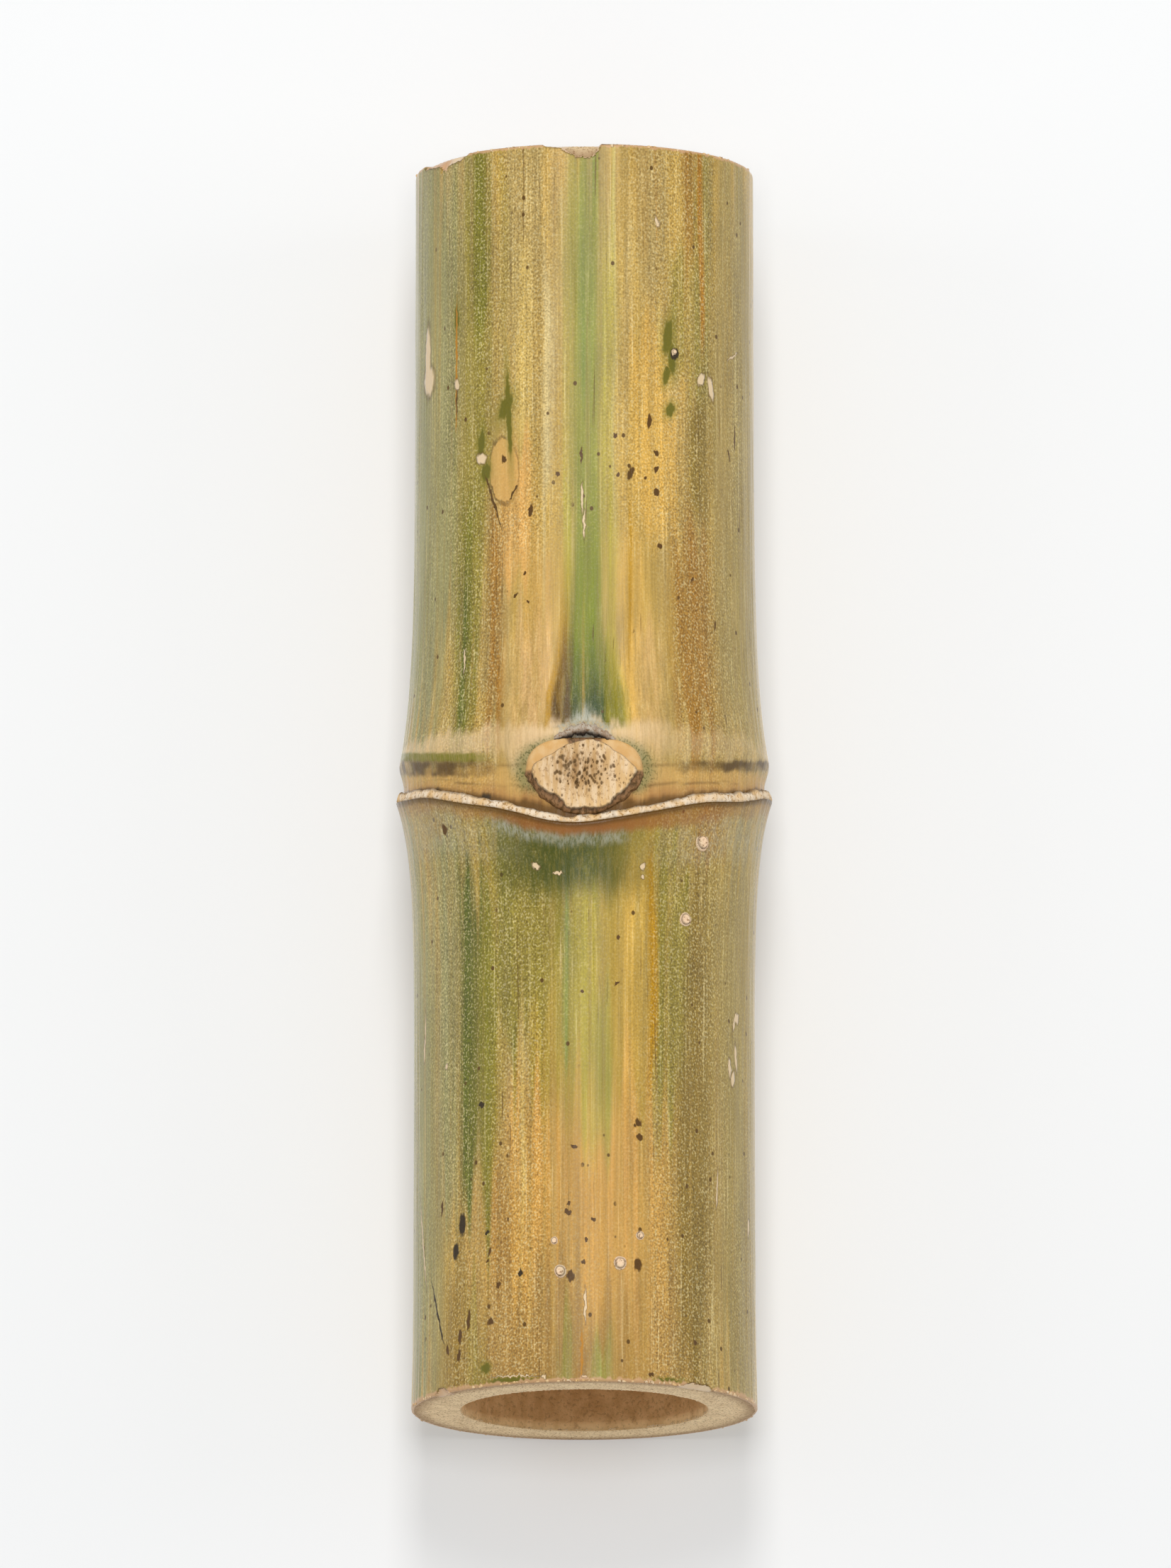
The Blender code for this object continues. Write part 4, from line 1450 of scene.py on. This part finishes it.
def hollow(name, mouth, direction, hollow_radius, partition, material):
    """A hollow: its wall, a quarter round, and a domed partition that closes to a point at the axis."""
    columns, wall_rows = 400, 60
    floor = partition - direction * PARTITION_FILLET
    wall_height = np.linspace(mouth + direction * 0.0002, floor, wall_rows)
    turn = np.linspace(0, math.pi / 2, 10)[1:]
    corner_radius = hollow_radius - PARTITION_FILLET * (1 - np.cos(turn))
    corner_height = partition - direction * PARTITION_FILLET * (1 - np.sin(turn))
    dome_radius = np.linspace(corner_radius[-1], 0.0, 26)[1:]
    dome_height = partition - PARTITION_DOME * (1 - (dome_radius / corner_radius[-1]) ** 2)
    radii = np.concatenate([np.full(wall_rows, hollow_radius), corner_radius, dome_radius])
    heights = np.concatenate([wall_height, corner_height, dome_height])

    # Three rows close the shape behind the surface that is seen, inside the wall
    seen_rows = len(radii)
    outside = hollow_radius + 0.0010
    radii = np.append(radii, [0.0, outside, outside])
    behind = [direction * 0.0008 - 0.0008 + partition, partition + direction * 0.0010]
    heights = np.append(heights, [*behind, mouth + direction * 0.001])
    radius = spread(radii, columns)
    height = spread(heights, columns)
    angle = np.broadcast_to(whole_turn(columns), radius.shape)
    on_wall = np.clip(radius / hollow_radius, 0, 1) ** 4
    on_wall = on_wall * (np.arange(len(radii)) < seen_rows)[:, None]
    radius = radius + on_wall * 0.00006 * wander(angle, height, 160, 0.02, 61)
    radius = radius + on_wall * 0.00005 * wander(angle, height, 380, 0.006, 62)
    points = lay_down(angle, height, np.where(radii[:, None] > 0, ovalled(angle, radius), 0.0))
    faces = grid_faces(*angle.shape, True, True)
    if direction < 0:
        faces = faces[:, ::-1]
    mesh = make_mesh(name, points, faces)
    close_poles(mesh, turn_out=False)
    add_values(mesh, shade=0.0)
    return show(name, mesh, material)


class CANE_OT_hollows(bpy.types.Operator):
    """Builds the walls of both hollows and the partition between them"""

    bl_idname = "cane.hollows"
    bl_label = "Hollows"

    def execute(self, context):
        material = wood_material("hollow_wood", "inner", "inner_dark", "sponge", 1500.0, 0.7, 0.00012, 0.35)
        hollow("lower_hollow", 0.0, 1, LOWER_HOLLOW_RADIUS, PARTITION_LOW, material)
        hollow("upper_hollow", CANE_LENGTH, -1, UPPER_HOLLOW_RADIUS, PARTITION_HIGH, material)
        return {"FINISHED"}


def superellipse(turn, half_width, reach_up, reach_down, square_up, square_down):
    """Sideways and upward steps of an outline whose upper and lower halves differ in squareness."""
    up = np.sin(turn) > 0
    square = np.where(up, square_up, square_down)
    reach = np.where(up, reach_up, reach_down)
    side = np.sign(np.cos(turn)) * half_width * np.abs(np.cos(turn)) ** (2 / square)
    rise = np.sign(np.sin(turn)) * reach * np.abs(np.sin(turn)) ** (2 / square)
    return side, rise


def ring_noise(turn, cells, seed):
    """Smooth noise round a closed outline, from -1 to 1."""
    draw = np.random.default_rng(seed)
    values = draw.uniform(-1, 1, cells)
    place = (turn / (2 * math.pi)) % 1 * cells
    low = np.floor(place).astype(int)
    share = place - low
    share = share * share * (3 - 2 * share)
    return values[low % cells] * (1 - share) + values[(low + 1) % cells] * share


class CANE_OT_branch(bpy.types.Operator):
    """Builds the stub of the cut branch: its pitted cut face and the collar that it stands in"""

    bl_idname = "cane.branch"
    bl_label = "Cut branch"

    def execute(self, context):
        cut_face()
        collar()
        return {"FINISHED"}


def smooth_outline(corners, columns):
    """A closed curve through the corners: a Catmull-Rom spline, in metres."""
    corners = np.array(corners) * MM
    place = np.linspace(0, len(corners), columns, endpoint=False)
    number = np.floor(place).astype(int)
    t = (place - number)[:, None]
    before, first, second, after = (corners[(number + step) % len(corners)] for step in (-1, 0, 1, 2))
    curve = 2 * first + (second - before) * t + (2 * before - 5 * first + 4 * second - after) * t**2
    curve = (curve + (3 * first - before - 3 * second + after) * t**3) / 2
    return curve[:, 0], curve[:, 1]


def cut_pits(across, along):
    """Open vessels in the cut: small round-shouldered pits, drawn out along the cane."""
    draw = np.random.default_rng(74)
    sunk = np.zeros_like(across)
    dark = np.zeros_like(across)
    for _ in range(PITS):
        x = draw.normal(*PITS_SIDE)
        y = draw.normal(*PITS_ALONG)
        size = draw.uniform(*PIT_SIZES)
        strength = draw.uniform(0.5, 1.0)
        pit = np.exp(-(((across - x) / size) ** 2 + ((along - y) / (1.7 * size)) ** 2) ** 1.5)
        sunk = sunk + PIT_DEPTH * strength * pit
        dark = np.maximum(dark, strength * pit)
    return sunk, dark


def cut_face():
    """The cut: an outline filled by rings to its middle, pitted, with a ragged side wall below."""
    columns, rings = 264, 54
    turn = np.linspace(0, 2 * math.pi, columns, endpoint=False)
    side, rise = smooth_outline(CUT_OUTLINE, columns)
    ragged = 1 + 0.012 * ring_noise(turn, 40, 71) + 0.015 * ring_noise(turn, 90, 72)
    shares = np.concatenate([np.linspace(0.0, 0.93, rings - 6), [0.955, 0.975, 0.99, 1.0, 1.004, 1.0]])
    across = shares[:, None] * (side * ragged)
    along = shares[:, None] * (rise * ragged)
    sunk, pits = cut_pits(across, along)
    waves = 0.00009 * np.sin(across * 2900 + 1.2 * np.sin(along * 900)) * (1 - shares[:, None] ** 6)
    edge_drop = np.interp(shares, [0.955, 0.975, 0.99, 1.0], [0.0, 0.00004, 0.00012, 0.0003])
    edge_drop[-2:] = [0.0012, 0.0040]
    level = CUT_FACE - 0.00035 + waves - sunk - edge_drop[:, None]

    # Two rows close the cut underneath, the last one in a point
    across = np.concatenate([across, across[-1:] * 0.9, across[-1:] * 0.0])
    along = np.concatenate([along, along[-1:] * 0.9, along[-1:] * 0.0])
    level = np.concatenate([level, spread([0.0290, 0.0288], columns)])
    points = lay_block(across, CUT_MIDDLE + along, level)
    mesh = make_mesh("branch_cut", points, grid_faces(*across.shape, False, True))
    stain = np.exp(-(((across + 0.0014) / 0.0054) ** 2 + ((along - 0.0011) / 0.0042) ** 2))
    side_wall = np.append(edge_drop > 0.0005, [True, True])
    outline = np.append(np.interp(shares, [0.965, 0.985], [0.0, 0.45]), [0.0, 0.0])
    add_values(
        mesh,
        pits=np.concatenate([pits, np.zeros((2, columns))]),
        stain=0.62 * stain,
        shade=spread(np.maximum(0.75 * side_wall, outline), columns),
    )
    close_poles(mesh)
    show("branch_cut", mesh, cut_material())


def cut_material():
    """Pale end grain with a brown stain in the middle and dark pits."""
    material, tree, shader = new_material("cut_wood")
    grit = noise(tree, cane_space(tree, 2000.0, 1100.0), 3.0, 0.65)
    cloud = noise(tree, cane_space(tree, 900.0, 190.0), 3.0, 0.6)
    colour = blend_paint(tree, ease(tree, cloud, 0.38, 0.62), seen("cream_and_highlight"), seen("cut"))
    stained = times(tree, named(tree, "stain"), ease(tree, cloud, 0.34, 0.62, 0.35, 1.2))
    colour = blend_paint(tree, stained, colour, seen("sponge"))
    colour = blend_paint(tree, ease(tree, grit, 0.47, 0.36, 0.0, 0.55), colour, seen("sponge"))
    colour = blend_paint(tree, ease(tree, named(tree, "pits"), 0.10, 0.70, 0.0, 0.85), colour, seen("crack_and_shade"))
    # Painted shade on the cut's side wall and a dark outline round it
    colour = blend_paint(tree, named(tree, "shade"), colour, seen("soot_and_shade"), "MULTIPLY")
    dress(tree, shader, colour, 0.8, bump(tree, grit, 0.0002, 0.8))
    return material


def collar():
    """The collar: a rounded lip round the cut, smooth at its shoulders, barky and sloped below."""
    columns = 320
    turn = np.linspace(0, 2 * math.pi, columns, endpoint=False)
    side, rise = superellipse(
        turn, COLLAR_HALF_WIDTH, COLLAR_UP, COLLAR_DOWN, COLLAR_UP_SQUARENESS, COLLAR_DOWN_SQUARENESS,
    )
    section = np.array(COLLAR_SECTION)
    shares = section[:, :1]
    bark = 0.5 - 0.5 * np.tanh((rise - 0.0006) / 0.0012)
    rough = 1 + bark * (0.02 * ring_noise(turn, 60, 81) + 0.03 * ring_noise(turn, 24, 82))
    across = shares * side * rough
    along = shares * rise * rough
    curve = np.sqrt(np.maximum(COLLAR_FACE**2 - across**2, 0)) - COLLAR_FACE
    level = COLLAR_FACE + section[:, 1:] * MM + 0.55 * curve - 0.0004 * bark
    level = level + bark * 0.00012 * ring_noise(turn, 90, 83)
    points = lay_block(across, COLLAR_MIDDLE + along, level)
    mesh = make_mesh("branch_collar", points, grid_faces(*across.shape, True, True))
    top = (rise > 0) * np.exp(-np.abs(side / 0.0036) ** 4)
    seam = np.exp(-(((shares - 1.05) / 0.02) ** 2))
    barky = np.broadcast_to(np.maximum(bark, top), across.shape)
    add_values(mesh, bark=barky, shade=np.maximum(0.6 * seam * bark, 0.35 * top))
    show("branch_collar", mesh, collar_material())


def collar_material():
    """Smooth peach shoulders that turn to dark bark."""
    material, tree, shader = new_material("collar_bark")
    grit = noise(tree, cane_space(tree, 1500.0, 900.0), 3.0, 0.65)
    cloud = noise(tree, cane_space(tree, 500.0, 500.0), 3.0, 0.5)
    shoulders = blend_paint(tree, ease(tree, cloud, 0.35, 0.65), seen("peach"), seen("cut"))
    barky = blend_paint(tree, ease(tree, grit, 0.35, 0.62), seen("crack_and_shade"), seen("bark"))
    colour = blend_paint(tree, ease(tree, named(tree, "bark"), 0.35, 0.65), shoulders, barky)
    # Painted shade at the collar's foot and under the brow
    colour = blend_paint(tree, named(tree, "shade"), colour, seen("soot_and_shade"))
    dress(tree, shader, colour, 0.65, bump(tree, grit, 0.00015, 0.6))
    return material


class CANE_OT_brow(bpy.types.Operator):
    """Builds the crusted brow that arches over the branch at the foot of the groove"""

    bl_idname = "cane.brow"
    bl_label = "Brow"

    def execute(self, context):
        steps, sides = 120, 28
        share = np.linspace(0, 1, steps)
        side = along_line(BROW_SIDES, share) * MM
        height = along_line(BROW_HEIGHTS, share) * MM
        height = np.convolve(np.pad(height, 7, mode="edge"), np.ones(15) / 15, mode="valid")
        turn = np.linspace(0, 2 * math.pi, sides, endpoint=False)
        size = np.sin(np.pi * np.clip(share, 0.02, 0.98)) ** 0.35
        size = size * (1 + 0.15 * np.sin(share * 31) + 0.1 * np.sin(share * 67 + 1))
        draw = np.random.default_rng(91)
        size = size[:, None] * (1 + 0.10 * draw.uniform(-1, 1, (steps, sides)))
        across = spread(side, sides)
        along = height[:, None] + 0.00105 * size * np.cos(turn)
        out = np.sqrt(BROW_SEAT**2 - across**2) + 0.00112 * size * np.sin(turn)
        for end in (0, -1):
            along[end] = along[end].mean()
            out[end] = out[end].mean()
        points = lay_block(across, along, out)
        mesh = make_mesh("branch_brow", points, grid_faces(steps, sides, False, True))
        under = np.clip(-1.6 * np.cos(turn) - 0.2, 0, 1) * 0.95
        add_values(mesh, shade=np.broadcast_to(under, across.shape))
        close_poles(mesh)
        material = wood_material("crusted_brow", "crust", "crust_brown", "sponge", 2200.0, 0.9, 0.0002)
        show("branch_brow", mesh, material)
        return {"FINISHED"}


def skin_radius_at(degrees, height):
    """The skin's radius at a place as it lies after growth, read back through pulled_height."""
    before = np.linspace(0.0, CANE_LENGTH, 2221)
    after = pulled_height(np.full_like(before, math.radians(degrees)), before)
    radius = np.where(before > RING_HEIGHT, upper_skin_radius(before), lower_skin_radius(before))
    return float(np.interp(height, after, radius))


class CANE_OT_knobs(bpy.types.Operator):
    """Builds the small healed knobs on the skin"""

    bl_idname = "cane.knobs"
    bl_label = "Knobs"

    def execute(self, context):
        columns = 28
        turn = np.linspace(0, 2 * math.pi, columns, endpoint=False)
        section = np.array(KNOB_SECTION)
        rings = len(section)
        ring_shade = np.interp(section[:, 0], [0.0, 0.6, 0.78, 0.86, 1.1], [0.0, 0.0, 0.75, 0.25, 0.1])
        points, faces = [], []
        for number, (degrees, height, size, rise) in enumerate(KNOBS):
            reach = section[:, :1] * size * MM * (1 + 0.07 * ring_noise(turn, 9, 100 + number))
            skin = skin_radius_at(degrees, height * MM)
            angle = math.radians(degrees) + reach * np.cos(turn) / skin
            along = height * MM + reach * np.sin(turn) * 1.08
            radius = skin + spread(section[:, 1], columns) * rise * MM
            points.append(lay_down(angle, along, ovalled(angle, radius)))
            faces.append(grid_faces(rings, columns, False, True) + number * rings * columns)
        mesh = make_mesh("skin_knobs", np.concatenate(points), np.concatenate(faces))
        add_values(mesh, shade=np.tile(np.repeat(ring_shade, columns), len(KNOBS)))
        close_poles(mesh)
        material = wood_material("knob_cork", "knob", "chip", "sponge", 1800.0, 0.7, 0.0001)
        show("skin_knobs", mesh, material)
        return {"FINISHED"}


class CANE_OT_rim_crumbs(bpy.types.Operator):
    """Builds the crumbs and torn fibres that the saw left on the rims"""

    bl_idname = "cane.rim_crumbs"
    bl_label = "Rim crumbs"

    def execute(self, context):
        draw = np.random.default_rng(7)
        rings, columns = 7, 10
        polar = np.linspace(0, math.pi, rings)[:, None]
        turn = np.linspace(0, 2 * math.pi, columns, endpoint=False)
        points, faces = [], []
        for number in range(CRUMBS):
            upper = number % 4 == 0
            rim = CANE_LENGTH if upper else 0.0
            inward = -1 if upper else 1
            angle = draw.uniform(-1.4, 1.4) if number % 3 else draw.uniform(-math.pi, math.pi)
            size = [draw.uniform(0.12, 0.42), draw.uniform(0.10, 0.28), draw.uniform(0.10, 0.22)]
            width, length, rise = np.array(size) * MM
            lump = 1 + 0.25 * draw.uniform(-1, 1, (rings, columns))
            lump[0], lump[-1] = 1, 1
            skin = float(plain_radius(rim)) - 0.00012
            place = angle + width * np.sin(polar) * np.cos(turn) * lump / skin
            height = rim + inward * draw.uniform(0.0001, 0.0004) + length * np.cos(polar) * lump
            height = np.clip(height, 0.0, CANE_LENGTH)
            radius = skin + rise * np.sin(polar) * np.sin(turn) * lump
            spalls = [spall for spall in SPALLS if (spall[0] > 0) == upper]
            if max(float(spall_reach(np.array(angle), spall)) for spall in spalls) > SPALL_LEAST:
                continue
            points.append(lay_down(place, height, ovalled(place, radius)))
            faces.append(grid_faces(rings, columns, False, True) + len(faces) * rings * columns)
        mesh = make_mesh("rim_crumbs", np.concatenate(points), np.concatenate(faces))
        add_values(mesh, shade=0.0)
        close_poles(mesh)
        material = wood_material("torn_fibre", "chip", "cut", "sponge", 1500.0, 0.8, 0.0001)
        show("rim_crumbs", mesh, material)
        return {"FINISHED"}


class CANE_OT_stage(bpy.types.Operator):
    """Lays the plain floor, hangs the soft lights and sets up the camera"""

    bl_idname = "cane.stage"
    bl_label = "Stage"

    def execute(self, context):
        settings = context.scene.cane_stage
        lay_floor(settings)
        hang_lights()
        place_camera(settings)
        return {"FINISHED"}


def lay_floor(settings):
    """A pale plain floor that glows faintly."""
    bpy.ops.mesh.primitive_plane_add(size=FLOOR_SIZE, location=(0.0, 0.0, 0.0))
    floor = bpy.context.active_object
    floor.name = "floor"
    material, _, shader = new_material("pale_floor")
    shader.inputs["Base Color"].default_value = (*settings.floor_colour, 1.0)
    shader.inputs["Emission Color"].default_value = (1.0, 1.0, 1.0, 1.0)
    shader.inputs["Emission Strength"].default_value = settings.floor_glow
    shader.inputs["Roughness"].default_value = 0.85
    shader.inputs["Specular IOR Level"].default_value = 0.2
    floor.data.materials.append(material)


def hang_light(name, place, target, size, power):
    """A soft rectangular lamp that faces its target."""
    data = bpy.data.lights.new(name, "AREA")
    data.shape = "RECTANGLE"
    data.size, data.size_y = size
    data.energy = power
    lamp = bpy.data.objects.new(name, data)
    bpy.context.scene.collection.objects.link(lamp)
    lamp.location = place
    lamp.rotation_euler = (Vector(target) - Vector(place)).to_track_quat("-Z", "Y").to_euler()


def hang_lights():
    """A pale room all round, and the lamps."""
    world = bpy.data.worlds.new("white_room")
    bpy.context.scene.world = world
    world.use_nodes = True
    background = world.node_tree.nodes["Background"]
    background.inputs["Color"].default_value = ROOM_COLOUR
    background.inputs["Strength"].default_value = ROOM_LIGHT
    for lamp in LAMPS:
        hang_light(*lamp)


def place_camera(settings):
    """Looks at the middle of the cane, a little to the right of it and above it in the picture."""
    camera = bpy.data.cameras.new("camera")
    camera.sensor_fit = "AUTO"
    camera.sensor_width = 36.0
    camera.lens = camera.sensor_width * settings.distance / settings.view_height
    camera.clip_end = 50.0
    holder = bpy.data.objects.new("camera", camera)
    bpy.context.scene.collection.objects.link(holder)
    look = settings.look_down
    up = Vector((0.0, math.sin(look), math.cos(look)))
    middle = Vector(lay_block(np.array(0.0), np.array(CANE_LENGTH / 2), np.array(0.0)))
    target = middle + up * PICTURE_UP + Vector((PICTURE_RIGHT, 0.0, 0.0))
    back = Vector((0.0, -math.cos(look), math.sin(look)))
    holder.location = target + back * settings.distance
    holder.rotation_euler = (math.pi / 2 - look, 0.0, 0.0)
    bpy.context.scene.camera = holder
    bpy.context.scene.view_settings.view_transform = "Standard"


class CANE_PT_panel(bpy.types.Panel):
    """Lists the pieces of the cane"""

    bl_idname = "CANE_PT_panel"
    bl_label = "Bamboo cane"
    bl_space_type = "VIEW_3D"
    bl_region_type = "UI"
    bl_category = "Bamboo Cane"

    def draw(self, context):
        column = self.layout.column()
        for name in ("front_columns", "back_columns", "rows", "skin_roughness", "saturation", "brightness"):
            column.prop(context.scene.cane_skin, name)
        for name in ("floor_colour", "floor_glow", "look_down", "distance", "view_height"):
            column.prop(context.scene.cane_stage, name)
        for piece in PIECES:
            column.operator(piece.bl_idname)


PIECES = (
    CANE_OT_lower_skin,
    CANE_OT_upper_skin,
    CANE_OT_scar_ring,
    CANE_OT_sawn_ends,
    CANE_OT_hollows,
    CANE_OT_branch,
    CANE_OT_brow,
    CANE_OT_knobs,
    CANE_OT_rim_crumbs,
    CANE_OT_stage,
)
GROUPS = (CANE_PG_skin, CANE_PG_stage)


def register():
    """Makes the property groups, the operators and the panel known to Blender."""
    for item in (*GROUPS, *PIECES, CANE_PT_panel):
        bpy.utils.register_class(item)
    bpy.types.Scene.cane_skin = PointerProperty(type=CANE_PG_skin)
    bpy.types.Scene.cane_stage = PointerProperty(type=CANE_PG_stage)


def unregister():
    """Takes them out again."""
    del bpy.types.Scene.cane_stage
    del bpy.types.Scene.cane_skin
    for item in reversed((*GROUPS, *PIECES, CANE_PT_panel)):
        bpy.utils.unregister_class(item)


def main():
    """Builds every piece in order."""
    register()
    bpy.ops.cane.lower_skin()
    bpy.ops.cane.upper_skin()
    bpy.ops.cane.scar_ring()
    bpy.ops.cane.sawn_ends()
    bpy.ops.cane.hollows()
    bpy.ops.cane.branch()
    bpy.ops.cane.brow()
    bpy.ops.cane.knobs()
    bpy.ops.cane.rim_crumbs()
    bpy.ops.cane.stage()


if __name__ == "__main__":
    main()
